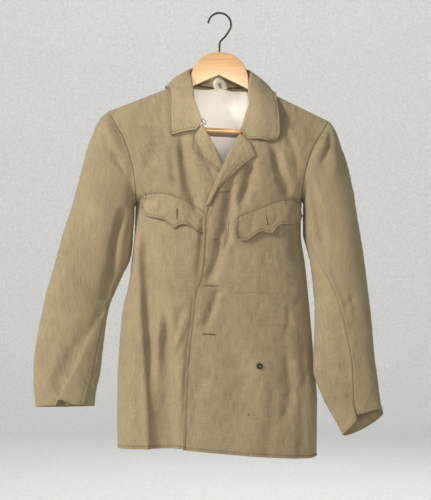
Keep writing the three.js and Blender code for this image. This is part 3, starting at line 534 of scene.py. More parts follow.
def cells(index, closed=False):
    """Quads between the rows and columns of a grid of vertex numbers, whose rows may be rings."""
    if closed:
        index = np.hstack([index, index[:, :1]])
    quads = np.stack([index[:-1, :-1], index[1:, :-1], index[1:, 1:], index[:-1, 1:]], axis=-1)
    return quads.reshape(-1, 4)


def new_mesh(name, points, faces):
    mesh = bpy.data.meshes.new(name)
    mesh.from_pydata((points * MM).tolist(), [], faces)
    mesh.polygons.foreach_set("use_smooth", np.ones(len(mesh.polygons), bool))
    mesh.update()
    return mesh


def put(name, mesh, material, nodes=()):
    """Makes an object of a mesh, in place of CAD nodes, riding on the one body."""
    piece = bpy.data.objects.new(name, mesh)
    bpy.context.scene.collection.objects.link(piece)
    mesh.materials.append(material)
    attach(piece, "root")
    if nodes:
        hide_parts(*nodes)
    return piece


BORDERS = ("start", "end", "top", "foot")


def wall_arrays(cloth, thick):
    """A closed wall of cloth with rounded edges: outer points, inner points one thickness in, and
    a loop half way between round the border."""
    outer, normal = cloth.points.copy(), cloth.normals
    rows, columns = outer.shape[:2]
    inner = outer - normal * thick
    loop_r = np.concatenate([
        np.zeros(columns - 1), np.arange(rows - 1), np.full(columns - 1, rows - 1),
        np.arange(rows - 1, 0, -1),
    ]).astype(int)
    loop_c = np.concatenate([
        np.arange(columns - 1), np.full(rows - 1, columns - 1), np.arange(columns - 1, 0, -1),
        np.zeros(rows - 1),
    ]).astype(int)
    middle = (outer[loop_r, loop_c] + inner[loop_r, loop_c]) / 2
    round_by = {b: 0.08 if cloth.borders.get(b, ("",))[0] == "sewn" else 0.3 for b in BORDERS}
    for face in (outer, inner):
        for end, nxt, row, column in ((0, 1, "top", "start"), (-1, -2, "foot", "end")):
            face[end] += unit(face[nxt] - face[end]) * round_by[row] * thick
            face[:, end] += unit(face[:, nxt] - face[:, end]) * round_by[column] * thick
    index = np.arange(rows * columns).reshape(rows, columns)
    front = cells(index)
    half = rows * columns
    rim = np.arange(len(loop_r)) + 2 * half
    rim_next = np.roll(rim, -1)
    at = index[loop_r, loop_c]
    at_next = np.roll(at, -1)
    faces = np.concatenate([
        front, front[:, ::-1] + half,
        np.stack([at, at_next, rim_next, rim], axis=-1),
        np.stack([rim, rim_next, at_next + half, at + half], axis=-1),
    ])
    points = np.concatenate([outer.reshape(-1, 3), inner.reshape(-1, 3), middle])
    flat = np.stack([cloth.u, cloth.v], axis=-1)
    uv = np.concatenate([flat.reshape(-1, 2), flat.reshape(-1, 2), flat[loop_r, loop_c]])
    return points, faces if cloth.flip > 0 else faces[:, ::-1], uv


def cloth_piece(name, cloths, thick, material, nodes, worn=()):
    """One piece of cloth from one or more walls, with the weave's own UV map in metres, and how
    worn each point is: worn names the borders where the cloth rubs."""
    points, faces, uvs, wear, groove_shades = [], [], [], [], []
    count = 0
    for cloth in cloths:
        p, f, uv = wall_arrays(cloth, thick)
        rub = np.zeros(cloth.u.shape)
        for border in worn:
            d, along = cloth.distance(border)
            rub = np.maximum(rub, bell(d, 5) * (0.7 + 0.3 * np.sin(along / 13) * np.sin(along / 5)))
        rub = rub.reshape(-1)
        rest = len(p) - 2 * len(rub)
        points.append(p)
        faces.append(f + count)
        uvs.append(uv)
        wear.append(np.concatenate([rub, rub, np.full(rest, 0.8 if len(worn) else 0.0)]))
        nip = cloth.nip.reshape(-1)
        groove_shades.append(np.concatenate([nip, nip, np.zeros(rest)]))
        count += len(p)
    mesh = new_mesh(name, np.concatenate(points), np.concatenate(faces).tolist())
    vertex = np.empty(len(mesh.loops), np.int32)
    mesh.loops.foreach_get("vertex_index", vertex)
    layer = mesh.uv_layers.new(name="weave")
    layer.data.foreach_set("uv", (np.concatenate(uvs)[vertex] * MM).astype(np.float32).ravel())
    # The first attribute is wear where the cloth rubs; the second is shade painted into the colour along
    # stitches and seams
    for label, values in (("rubbed", wear), ("nipped", groove_shades)):
        attribute = mesh.attributes.new(label, "FLOAT", "POINT")
        attribute.data.foreach_set("value", np.concatenate(values).astype(np.float32))
    piece = put(name, mesh, material, nodes)
    area = sum(area_of(c) for c in cloths)
    return piece


def area_of(cloth):
    """The cut's flat area in square metres: the sum of a grid's cells."""
    p = cloth.points * MM
    one = np.cross(p[1:, :-1] - p[:-1, :-1], p[:-1, 1:] - p[:-1, :-1])
    two = np.cross(p[1:, :-1] - p[1:, 1:], p[:-1, 1:] - p[1:, 1:])
    return float((np.linalg.norm(one, axis=2) + np.linalg.norm(two, axis=2)).sum() / 2)


def strands(name, parts, material, sides=5):
    """Short lengths of thread or wire joined in one mesh. Each part is an array of starts, one of
    middles, one of ends, one of normals and a radius: a small tube that is pinched at its ends."""
    points, faces = [], []
    count = 0
    for start, middle, end, normal, radius in parts:
        n = len(start)
        if not n:
            continue
        along = unit(end - start)
        over = unit(np.cross(along, normal))
        up = np.cross(over, along)
        turn = np.arange(sides) * 2 * np.pi / sides
        circle = over[:, None] * np.cos(turn)[None, :, None] + up[:, None] * np.sin(turn)[None, :, None]
        near, far = mix(start, middle, 0.45), mix(end, middle, 0.45)
        centres = ((start, 0.35), (near, 1), (far, 1), (end, 0.35))
        body = np.stack([c[:, None] + circle * radius * share for c, share in centres], axis=1)
        index = np.arange(n * 4 * sides).reshape(n, 4, sides) + count
        nxt = np.roll(index, -1, axis=2)
        side = np.stack([index[:, :-1], nxt[:, :-1], nxt[:, 1:], index[:, 1:]], axis=-1)
        points.append(body.reshape(-1, 3))
        faces.append(side.reshape(-1, 4).tolist())
        faces.append(index[:, 0, ::-1].tolist())
        faces.append(index[:, -1].tolist())
        count += n * 4 * sides
    mesh = new_mesh(name, np.concatenate(points), [face for group in faces for face in group])
    return put(name, mesh, material)


def stitches(line, pitch, long, thick=0.42, seed=0):
    """Stitches along a line of points and normals: each dips into the cloth at both ends."""
    points, normals = line
    steps = np.linalg.norm(np.diff(points, axis=0), axis=1)
    at = np.concatenate([[0], np.cumsum(steps)])
    centre = np.arange(pitch, at[-1] - pitch / 2, pitch)
    rng = np.random.default_rng(seed)
    centre = centre + rng.uniform(-0.12, 0.12, len(centre)) * pitch

    def follow(values, where):
        return np.stack([np.interp(where, at, values[:, k]) for k in range(3)], axis=-1)

    normal = unit(follow(normals, centre))
    start = follow(points, centre - long / 2) - normal * 0.25
    end = follow(points, centre + long / 2) - normal * 0.25
    return start, follow(points, centre) + normal * 0.3, end, normal, thick


def tube(path, radius, sides=20, closed=False):
    """Points and faces of a round wire along a path, by carrying one frame along it."""
    n = len(path)
    along = unit(np.roll(path, -1, axis=0) - np.roll(path, 1, axis=0) if closed
                 else np.gradient(path, axis=0))
    side = np.empty_like(path)
    side[0] = unit(np.cross(along[0], (0.3, 0.9, 0.2)))
    for k in range(1, n):
        side[k] = unit(side[k - 1] - along[k] * np.dot(side[k - 1], along[k]))
    up = np.cross(along, side)
    turn = np.arange(sides) * 2 * np.pi / sides
    radius = np.broadcast_to(radius, (n,))[:, None, None]
    ring = side[:, None] * np.cos(turn)[None, :, None] + up[:, None] * np.sin(turn)[None, :, None]
    points = (path[:, None] + ring * radius).reshape(-1, 3)
    index = np.arange(n * sides).reshape(n, sides)
    if closed:
        index = np.vstack([index, index[:1]])
    faces = cells(index, closed=True)[:, (0, 3, 2, 1)].tolist()
    if not closed:
        faces += [index[0, ::-1].tolist(), index[-1].tolist()]
    return points, faces


# Shader maths


class Value:
    """A number that changes over a surface: a socket with Python's operators."""

    def __init__(self, shader, socket):
        self.shader = shader
        self.socket = socket

    def math(self, operation, *others):
        made = self.shader.node("ShaderNodeMath", {"operation": operation}, self, *others)
        return Value(self.shader, made.outputs[0])

    def __add__(self, other):
        return self.math("ADD", other)

    __radd__ = __add__

    def __sub__(self, other):
        return self.math("SUBTRACT", other)

    def __rsub__(self, other):
        return self.math("MULTIPLY", -1.0) + other

    def __mul__(self, other):
        return self.math("MULTIPLY", other)

    __rmul__ = __mul__

    def sine(self):
        return self.math("SINE")

    def over(self, low, high):
        """0 below low, 1 above high, smooth between."""
        made = self.shader.node(
            "ShaderNodeMapRange", {"interpolation_type": "SMOOTHSTEP"}, self, low, high, 0.0, 1.0
        )
        return Value(self.shader, made.outputs[0])


class Shader:
    """A material's nodes: one method makes any of them."""

    def __init__(self, name):
        self.material = bpy.data.materials.new(name)
        self.material.use_nodes = True
        self.tree = self.material.node_tree
        self.surface = self.tree.nodes["Principled BSDF"]

    def node(self, kind, settings=None, *values, **named):
        made = self.tree.nodes.new(kind)
        for key, setting in (settings or {}).items():
            if key == "stops":
                ramp = made.color_ramp.elements
                while len(ramp) < len(setting):
                    ramp.new(0.5)
                for stop, (place, colour) in zip(ramp, setting):
                    stop.position = place
                    stop.color = (*colour, 1)
            else:
                setattr(made, key, setting)
        for socket, value in [*zip(made.inputs, values), *((made.inputs[k], v) for k, v in named.items())]:
            self.feed(socket, value)
        return made

    def feed(self, socket, value):
        if isinstance(value, Value):
            value = value.socket
        if isinstance(value, bpy.types.NodeSocket):
            self.tree.links.new(value, socket)
        elif value is not None:
            socket.default_value = value

    def place(self, source):
        """Object coordinates, or the cloth's own UV map, as x, y, z values and the vector."""
        if source == "object":
            vector = self.node("ShaderNodeTexCoord").outputs["Object"]
        else:
            vector = self.node("ShaderNodeUVMap", {"uv_map": "weave"}).outputs[0]
        parts = self.node("ShaderNodeSeparateXYZ", None, vector).outputs
        return vector, [Value(self, part) for part in parts]

    def noise(self, vector, scale, detail=3.0, rough=0.5, stretch=(1, 1, 1)):
        """Noise from 0 to 1, on a vector stretched along its axes."""
        mapped = self.node("ShaderNodeMapping", None, vector, Scale=stretch)
        made = self.node("ShaderNodeTexNoise", None, Vector=mapped.outputs[0], Scale=scale,
                         Detail=detail, Roughness=rough)
        return Value(self, made.outputs[0])

    def measured(self, name):
        """A number that each point of the mesh carries."""
        return Value(self, self.node("ShaderNodeAttribute", {"attribute_name": name}).outputs["Fac"])

    def ramp(self, value, *stops):
        return self.node("ShaderNodeValToRGB", {"stops": stops}, value).outputs[0]

    def blend(self, share, one, two, mode="MIX"):
        """Two colours mixed by a share."""
        made = self.node("ShaderNodeMix", {"data_type": "RGBA", "blend_type": mode, "clamp_factor": True})
        self.feed(made.inputs[0], share)
        for socket, colour in ((made.inputs[6], one), (made.inputs[7], two)):
            self.feed(socket, (*colour, 1) if isinstance(colour, (tuple, list)) else colour)
        return made.outputs[2]

    def bump(self, height, distance, strength=1.0, normal=None):
        made = self.node("ShaderNodeBump", None, Strength=strength, Distance=distance, Height=height)
        if normal:
            self.feed(made.inputs["Normal"], normal)
        return made.outputs[0]

    def finish(self, colour, rough, normal=None, **fixed):
        self.feed(self.surface.inputs["Base Color"], colour)
        self.feed(self.surface.inputs["Roughness"], rough)
        if normal:
            self.feed(self.surface.inputs["Normal"], normal)
        for socket, value in fixed.items():
            self.surface.inputs[socket.replace("_", " ")].default_value = value
        return self.material


def shade(colour, by):
    return tuple(min(1.0, c * by) for c in colour)


# Spots: x, z, size across, strength and tint. The first two darken the upper right front; the rest are stains
MARKS = (
    (-143, -222, 8, 0.3, (0.26, 0.17, 0.09)), (-158, -240, 26, 0.22, (0.3, 0.19, 0.1)),
    (243, -738, 8, 0.4, (0.2, 0.12, 0.07)), (55.5, -775, 2.6, 0.8, (0.12, 0.08, 0.05)),
    (30, -700, 22, 0.15, (0.34, 0.24, 0.15)), (120, -540, 26, 0.14, (0.34, 0.24, 0.15)),
)
# The colour of the shade painted along stitch grooves and seams, then that of rubbed wear
GROOVE_SHADE_TINT = (0.125, 0.084, 0.044)
RUBBED_TINT = (0.225, 0.13, 0.063)


def woven(name, colour, pitch, slub, mottle, soiled_and_groove_shaded=False, weave_depth=0.00012):
    """Cotton: threads crossing at a pitch, slubs along both threads, uneven dye, and, where it is
    soiled, a few marks, a redder tint where it rubs and shade painted along stitch grooves and seams."""
    shader = Shader(name)
    flat, (u, v, _) = shader.place("weave")
    body, (x, _, z) = shader.place("object")
    turn = 2 * math.pi / pitch
    warp = (u * turn).sine()
    weft = (v * turn).sine()
    twill = ((u + v) * (turn / 2)).sine()
    slub_long = shader.noise(flat, 1.0, 2.0, 0.6, (900, 34, 1))
    slub_cross = shader.noise(flat, 1.0, 2.0, 0.6, (40, 900, 1))
    cloudy = shader.noise(body, 9.0, 4.0, 0.62)
    patchy = shader.noise(body, 38.0, 3.0, 0.55)
    fine = shader.noise(flat, 520.0, 3.0, 0.7)
    tone = (
        0.5 + (slub_long - 0.5) * (1.5 * slub) + (slub_cross - 0.5) * slub
        + (cloudy - 0.5) * (1.6 * mottle) + (patchy - 0.5) * mottle + (fine - 0.5) * (0.7 * slub)
        + warp * weft * 0.03
    )
    base = shader.ramp(tone, (0.15, shade(colour, 0.66)), (0.5, colour), (0.85, shade(colour, 1.24)))
    if soiled_and_groove_shaded:
        # Painted shade: stitch grooves and seams darkened in the colour
        nipped = shader.measured("nipped")
        base = shader.blend(nipped * 0.45, base, GROOVE_SHADE_TINT)
        dark = shader.measured("rubbed") * patchy.over(0.3, 0.62)
        base = shader.blend(dark * 0.45, base, RUBBED_TINT)
        for mark_x, mark_z, size, strength, tint in MARKS:
            dx, dz = x - mark_x * MM, z - mark_z * MM
            away = (dx * dx + dz * dz).math("SQRT") + (patchy - 0.5) * (size * MM * 1.6)
            spot = 1 - away.over(size * MM * 0.35, size * MM)
            base = shader.blend(spot * strength, base, tint)
    height = (
        warp * 0.25 + weft * 0.25 + twill * 0.15 + (slub_long - 0.5) * 2.4 + (slub_cross - 0.5) * 1.4
        + (fine - 0.5) * 0.9
    )
    normal = shader.bump(height, weave_depth)
    rough = 0.86 + (cloudy - 0.5) * 0.12
    soft = {"Specular_IOR_Level": 0.25, "Sheen_Weight": 0.12, "Sheen_Roughness": 0.6}
    return shader.finish(base, rough, normal, **soft)


def varnished_wood(name, colour):
    """Honey-coloured varnished wood: growth bands and fine pores along the grain."""
    shader = Shader(name)
    body, _ = shader.place("object")
    bend = shader.noise(body, 6.0, 3.0, 0.5, (1, 1, 2.2))
    bands = shader.noise(body, 1.0, 5.0, 0.55, (14, 60, 170))
    pores = shader.noise(body, 1.0, 3.0, 0.7, (70, 500, 1500))
    tone = bands * 0.75 + bend * 0.35 + (pores - 0.5) * 0.2 - 0.06
    base = shader.ramp(
        tone, (0.25, shade(colour, 0.62)), (0.45, shade(colour, 0.92)), (0.6, shade(colour, 1.08)),
        (0.8, shade(colour, 1.28)),
    )
    dents = shader.noise(body, 55.0, 2.0, 0.5)
    normal = shader.bump(pores * 0.6 + bands * 0.5 + dents * 0.8, 0.00025, 0.6)
    rough = 0.34 + (bands - 0.5) * 0.2
    return shader.finish(base, rough, normal, Coat_Weight=0.25, Coat_Roughness=0.2)


def dull_metal(name, colour, rough, metallic):
    """Dark wire or blacked metal: worn paler in patches, with fine scratches."""
    shader = Shader(name)
    body, _ = shader.place("object")
    worn = shader.noise(body, 260.0, 4.0, 0.6)
    scratch = shader.noise(body, 1.0, 2.0, 0.6, (300, 2000, 300))
    base = shader.ramp(worn, (0.35, shade(colour, 0.75)), (0.58, colour), (0.75, shade(colour, 2.4)))
    normal = shader.bump(worn * 0.6 + scratch * 0.4, 0.00006, 0.7)
    shader.finish(base, rough + (worn - 0.5) * 0.3, normal)
    shader.surface.inputs["Metallic"].default_value = metallic
    return shader.material


def plain(name, colour, rough):
    """An even finish with a faint mottle, for thread, the painted shadow in slits, and the stage."""
    shader = Shader(name)
    body, _ = shader.place("object")
    tone = shader.noise(body, 130.0, 2.0, 0.5)
    base = shader.ramp(tone, (0.3, shade(colour, 0.9)), (0.7, shade(colour, 1.08)))
    return shader.finish(base, rough)


# What a user would change


def length(name, description, default, least):
    return FloatProperty(name=name, description=description, default=default, min=least)


def colour(name, description, *default):
    return FloatVectorProperty(name=name, description=description, subtype="COLOR", size=3, default=default)


class JacketSizes(bpy.types.PropertyGroup):
    """Sizes of the sewing."""

    shell: length("Shell", "Thickness of the cloth, mm", 1.6, 0.5)
    double: length("Double", "Thickness of collar, lapels and flaps, mm", 2.0, 0.5)
    lining: length("Lining", "Thickness of the lining, mm", 1.0, 0.3)
    stitch: length("Stitch", "Length of a stitch, mm", 2.5, 1)
    pitch: length("Pitch", "From one stitch to the next, mm", 3.2, 1.2)
    inset: length("Inset", "From an edge to its stitches, mm", 5.5, 1)


class JacketColours(bpy.types.PropertyGroup):
    """Colours, linear."""

    cloth: colour("Cloth", "Shell cloth", 0.342, 0.271, 0.157)
    lining: colour("Lining", "Half lining", 0.95, 0.88, 0.77)
    tape: colour("Tape", "Loop at the nape", 0.88, 0.8, 0.64)
    thread: colour("Thread", "Stitches", 0.225, 0.16, 0.088)
    wood: colour("Wood", "Hanger", 0.66, 0.36, 0.12)
    wire: colour("Wire", "Hook and eye", 0.075, 0.06, 0.05)


@lru_cache(None)
def finish_of(kind):
    """Each finish is made once."""
    colours = bpy.context.scene.jacket_colours
    if kind == "cloth":
        return woven("khaki_cotton", tuple(colours.cloth), 0.0009, 0.8, 0.3, soiled_and_groove_shaded=True)
    if kind == "lining":
        return woven("ivory_lining", tuple(colours.lining), 0.0006, 0.12, 0.1, weave_depth=0.00006)
    if kind == "tape":
        return woven("cream_tape", tuple(colours.tape), 0.001, 0.2, 0.1, weave_depth=0.0002)
    if kind == "thread":
        return plain("khaki_thread", tuple(colours.thread), 0.8)
    if kind == "buttonhole":
        return plain("buttonhole_thread", shade(colours.cloth, 0.78), 0.85)
    if kind == "slit":
        return plain("slit_shadow", (0.06, 0.042, 0.026), 0.95)
    if kind == "wood":
        return varnished_wood("hanger_wood", tuple(colours.wood))
    if kind == "wire":
        return dull_metal("dark_wire", tuple(colours.wire), 0.42, 0.85)
    return dull_metal("blacked_metal", (0.03, 0.024, 0.02), 0.5, 0.5)


def sizes():
    return bpy.context.scene.jacket_sizes


def front_relief(side, x, z):
    """Fine creases and unevenness of a front, in mm out from its cut."""
    table = LEFT_CREASES if side == "left" else RIGHT_CREASES
    seed = 11 if side == "left" else 12
    soft = 0.9 * unevenness(x, z * 0.55, 58, seed) + 0.46 * unevenness(x, z * 0.6, 21, seed + 5)
    soft += 0.1 * unevenness(x, z * 0.8, 9, seed + 9)
    return soft - creases(table, x, z)


SEWN = ("sewn", 0)
FRONT_ROWS = spaced(735)
FRONT_COLUMNS = spaced(225, 13)


@lru_cache(None)
def front_cloth(side):
    """A front's finished surface."""
    s, t = grid(FRONT_ROWS, FRONT_COLUMNS)
    cloth = Cloth(front_point(side, s, t), SIDE_SIGN[side])
    relief = front_relief(side, cloth.points[..., 0], cloth.points[..., 2])
    near_seams = smooth((1 - t) / 0.1) * smooth(s / 0.03)
    cloth.raise_by(relief * near_seams)
    inset = sizes().inset
    borders = {"top": SEWN, "end": SEWN, "foot": ("turned", inset + 0.5), "start": ("turned", inset)}
    return cloth.sew(borders, SIDE_SIGN[side])


def on_front(side, x, z, lift=0.0):
    """Points and normals of a front's finished surface behind places in the front view."""
    s, t = locate(side, np.asarray(x, float), np.asarray(z, float))
    i = np.interp(s, FRONT_ROWS, np.arange(len(FRONT_ROWS)))
    j = np.interp(t, FRONT_COLUMNS, np.arange(len(FRONT_COLUMNS)))
    points, normals = front_cloth(side).at(i, j)
    return points + normals * np.asarray(lift, float)[..., None], normals


@lru_cache(None)
def back_cloth():
    """The back's finished surface, with its centre seam."""
    half = spaced(235, 13)
    s, side = grid(FRONT_ROWS, np.concatenate([-half[::-1], half[1:]]))
    cloth = Cloth(back_point(s, side), -1)
    x, z = cloth.points[..., 0], cloth.points[..., 2]
    relief = 0.9 * unevenness(x, z * 0.55, 62, 21) + 0.34 * unevenness(x, z * 0.6, 21, 22)
    relief -= creases(BACK_CREASES, x, z)
    seam = -0.9 * bell(x - BACK_CENTRE(s)[..., 0], 1.3) + 0.3 * bell(np.abs(x) - 4, 2)
    relief = relief * smooth((1 - np.abs(side)) / 0.1) * smooth(s / 0.04) + seam * smooth(s / 0.02)
    cloth.raise_by(relief)
    hem = ("turned", sizes().inset + 0.5)
    return cloth.sew({"top": SEWN, "start": SEWN, "end": SEWN, "foot": hem}, 3)


# Sleeves: columns are ring, xo, zo, xi, zi, y, depth, bow, rise, dip

RIGHT_RINGS = Curve(
    (0, -218, -190.5, -163, -370.5, 0, 46, 19, 0, 0), (1, -235, -207, -166, -380, -1, 50, 14, 0, 0),
    (2, -251, -243, -165.4, -395, -2, 50, 8, 0, 0), (3, -266, -294, -166.4, -418, -3, 48, 4, 0, 0),
    (4, -279, -341, -168.6, -446, -4, 46, 2, 0, 0), (5, -291.5, -386, -174, -478, -5, 43, 0, 0, 0),
    (6, -304, -428, -188, -508, -6, 40, 0, 0, 0), (7, -319, -480, -203, -540, -7, 37, 0, 0, 0),
    (8, -334, -534, -215, -572, -8, 34, 0, 0, 0), (9, -346, -586, -221, -603, -10, 32, 0, 0, 0),
    (10, -355.5, -637, -226, -646, -12, 29, 0, 0, 0), (11, -361.5, -680, -230, -682, -14, 25, 0, 0, 0),
    (12, -361.5, -708, -234, -711, -15, 21, 0, 0, 0), (13, -359, -741, -239.5, -740, -15, 18, 0, 0, 0),
    (14, -356.5, -765, -243, -763, -15, 17, 0, 3, 2),
)
LEFT_RINGS = Curve(
    (0, 214.5, -210, 160, -366.5, 0, 46, 19, 0, 0), (1, 226.5, -228, 162, -372, -2, 50, 14, 0, 0),
    (2, 236.5, -256, 162, -387, -4, 50, 8, 0, 0), (3, 247, -288, 161.5, -406, -7, 49, 4, 0, 0),
    (4, 256, -329, 162, -430, -11, 47, 2, 0, 0), (5, 264.5, -373, 168, -455, -16, 44, 0, 0, 0),
    (6, 273, -428, 175.5, -485, -22, 41, 0, 0, 0), (7, 281.5, -492, 180, -527, -29, 38, 0, 0, 0),
    (8, 289, -560, 182.5, -574, -38, 34, 0, 0, 0), (9, 296, -628, 182, -629, -43, 30, 0, 0, 0),
    (10, 302.5, -695, 180.5, -688, -46, 26, 0, 0, 0), (11, 308.5, -745, 197.5, -742, -47, 22, 0, 4, 3),
    (12, 315, -775, 237, -815, -47, 18, 0, 20, 12),
)
RIGHT_SEAMS = Curve((0, 160, 225), (8, 164, 222), (10, 150, 220), (14, 133, 222))
LEFT_SEAMS = Curve(
    (0, 160, 225), (4, 156, 222), (6, 138, 220), (7, 114, 220), (8, 96, 222), (9, 83, 224), (10, 77, 225),
    (11, 86, 226), (12, 108, 228),
)
# The angles of each sleeve's two seams at a ring, degrees, and its last ring
SLEEVES = {"right": (RIGHT_RINGS, RIGHT_SEAMS, 14), "left": (LEFT_RINGS, LEFT_SEAMS, 12)}

# The line of the right cuff's fold, how far it stands forward and how wide its rim is
PLEAT_START, PLEAT_END = (-238, -592), (-309, -742)
PLEAT_RISE, PLEAT_RIM = 6.5, 5

RIGHT_SLEEVE_CREASES = (
    (-228, -216, -214, -262, -178, -292, 5, 8, 5, 0.3),
    (-206, -284, -190, -300, -180, -314, 4, 5, 3),
    (-182, -372, -200, -440, -212, -540, 7, 8, 13),
    (-206, -490, -216, -530, -217, -566, 7, 9, 7, 0.3),
    (-240, -330, -262, -400, -276, -460, 14, 18, 2),
    (-262, -470, -276, -540, -290, -600, 14, 16, 1.6),
    (-250, -280, -246, -340, -232, -400, 10, 14, -1.8),
    (-220, -560, -246, -612, -262, -650, 6, 8, 1.8),
    (-252, -520, -240, -560, -224, -590, 6, 8, 1.4),
    (-318, -560, -324, -620, -330, -690, 10, 12, 1.4),
    (-300, -640, -326, -700, -336, -750, 8, 10, -1.5),
    (-252, -600, -292, -676, -324, -748, 9, 13, 3.5),
    (-214, -566, -226, -584, -240, -590, 3, 4, 2.2),
    (-238, -220, -246, -250, -248, -290, 6, 8, 1.6),
)
LEFT_SLEEVE_CREASES = (
    (214, -222, 212, -258, 192, -302, 5, 7, 5, -0.3),
    (226, -240, 226, -280, 214, -330, 7, 9, -2),
    (170, -320, 186, -390, 202, -476, 7, 9, 9),
    (206, -330, 222, -400, 230, -470, 12, 14, 2),
    (250, -536, 258, -566, 262, -600, 5, 6, 2.2),
    (266, -540, 252, -560, 232, -566, 5, 6, 2.6),
    (232, -240, 240, -290, 246, -340, 8, 11, 3),
    (276, -580, 256, -606, 238, -616, 5, 6, 1.6),
    (210, -480, 226, -530, 240, -560, 8, 10, 2),
    (222, -590, 236, -650, 246, -700, 9, 11, 1.8),
    (196, -600, 204, -660, 214, -720, 7, 9, 1.6),
    (262, -420, 272, -500, 276, -560, 10, 12, 1.4),
    (276, -640, 284, -700, 288, -750, 9, 11, -1.4),
)


def pleat_rise(x, z):
    """The right cuff is folded over itself: past a slanting line its inner part stands forward."""
    (x0, z0), (x1, z1) = PLEAT_START, PLEAT_END
    dx, dz = x1 - x0, z1 - z0
    far = math.hypot(dx, dz)
    past = (dx * (z - z0) - dz * (x - x0)) / far
    down = (dx * (x - x0) + dz * (z - z0)) / far
    rise = smooth(past / PLEAT_RIM) * (1 - smooth((past - 30) / 45)) * smooth(down / 70)
    return PLEAT_RISE * rise, past, down


def ring_point(side, ring, angle, pleated=True):
    """A sleeve's ring: from its outer side round by the front, bowed toward the body."""
    r = SLEEVES[side][0](ring)
    xo, zo, xi, zi, y, deep, bow, rise, dip = np.moveaxis(r, -1, 0)
    out_x, out_z = (xo - xi) / 2, (zo - zi) / 2
    body = unit(np.stack([-np.sign(out_x) * np.abs(out_z), np.abs(out_x)], axis=-1))
    cosine, sine = np.cos(angle), np.sin(angle)
    x = (xo + xi) / 2 + out_x * cosine + body[..., 0] * bow * sine**2
    z = (zo + zi) / 2 + out_z * cosine + body[..., 1] * bow * sine**2
    y = y - deep * sine
    z = z + np.where(sine > 0, rise, dip) * sine
    if side == "right" and pleated:
        lift, past, down = pleat_rise(x, z)
        fold = np.where(sine > 0, lift * sine, 0)
        y = y - fold
        z = z + fold * 1.9 * smooth((down - 100) / 60) * (1 - smooth((past - 4) / 40))
    return np.stack([x, y, z], axis=-1)


def armhole_point(side, angle):
    """The armhole: down the body's front border to the armpit, then up the back border."""
    half = np.mod(angle / np.pi + 2, 2)
    half = np.where(half <= 1, half, half - 2)
    rows = np.array([0, 0.01, 0.022, 0.045, 0.08, 0.12, 0.165, 0.21, 0.25, 0.285, 0.315, 0.338, ARMPIT])
    s = np.interp(np.abs(half) * 12, np.arange(13), rows)
    ahead = front_point(side, s, np.ones_like(s))
    behind = back_point(s, np.full_like(s, SIDE_SIGN[side]))
    return np.where((half >= 0)[..., None], ahead, behind)


def cuff_notch(ring, angle, half):
    """How far the left cuff's front rim is off its ring: on the inner side of its seam it hangs
    straight down to the cuff's corner, and on the other side it is drawn up, which leaves a notch."""
    seam = math.radians(108)
    drawn = 5 * bell(angle - seam, 0.28)
    straight = np.where(angle < np.pi, 20.9 * (1 + np.cos(angle)) - 20 * np.sin(angle), 0)
    return (drawn if half == "top" else straight) * smooth((ring - 10.8) / 1.2)


@lru_cache(None)
def sleeve_cloth(side, half):
    """Half of a sleeve, from the armhole to the cuff, between its two seams."""
    _, seams, last = SLEEVES[side]
    sign = SIDE_SIGN[side]
    ring, t = grid(spaced(600, 13) * last, spaced(250 if half == "top" else 110, 12))
    start, end = np.moveaxis(np.radians(seams(ring)), -1, 0)
    if half == "top":
        start, end = end - 2 * np.pi, start
    angle = mix(start, end, t)
    base = ring_point(side, np.maximum(ring, 1), angle)
    angle_top = mix(start[:1], end[:1], t[:1])
    hole = armhole_point(side, np.broadcast_to(angle_top, t.shape))
    first = ring_point(side, np.ones_like(ring), angle)
    beyond = ring_point(side, np.full_like(ring, 1.1), angle)
    u = np.clip(ring, 0, 1)[..., None]
    head = cubic(hole, (first - hole) * 0.9, first, (beyond - first) / 0.1, u)
    points = np.where((ring < 1)[..., None], head, base)
    if side == "left":
        points[..., 2] += cuff_notch(ring, angle, half)
    cloth = Cloth(points, -sign)
    x, z = cloth.points[..., 0], cloth.points[..., 2]
    table = LEFT_SLEEVE_CREASES if side == "left" else RIGHT_SLEEVE_CREASES
    ahead = smooth(np.sin(angle) * 1.6)
    behind = smooth(-np.sin(angle) * 1.6)
    relief = 0.8 * unevenness(x + 9 * angle, z * 0.6, 58, 31 + sign)
    relief += 0.22 * unevenness(x, z + 14 * angle, 18, 41 + sign)
    relief -= creases(table, x, z) * ahead + creases(table, x + 8 * sign, z + 30) * behind
    fade = smooth(t / 0.06) * smooth((1 - t) / 0.06) * smooth(ring / 0.5)
    cloth.raise_by(relief * fade)
    return cloth.sew({"top": SEWN, "start": SEWN, "end": SEWN, "foot": ("felled", 9)}, 5 + sign)


def pleat_cloth():
    """The layer beneath the right cuff's fold, which shows below the fold's raised rim."""
    d, a = grid(np.linspace(0, 1, 44), np.linspace(0, 1, 22))
    ring = mix(10.2, 13.97, d)
    start = mix(88, 92, d)
    angle = np.radians(start + a * 34 * smooth(d * 3 + 0.15))
    points = ring_point("right", ring, angle, pleated=False)
    points[..., 1] += 0.6 + 6 * (1 - smooth((d - 0.35) / 0.45))
    return Cloth(points, 1)


# Collar: columns are station, x, y, z. Stations run from the right front end round the neck.

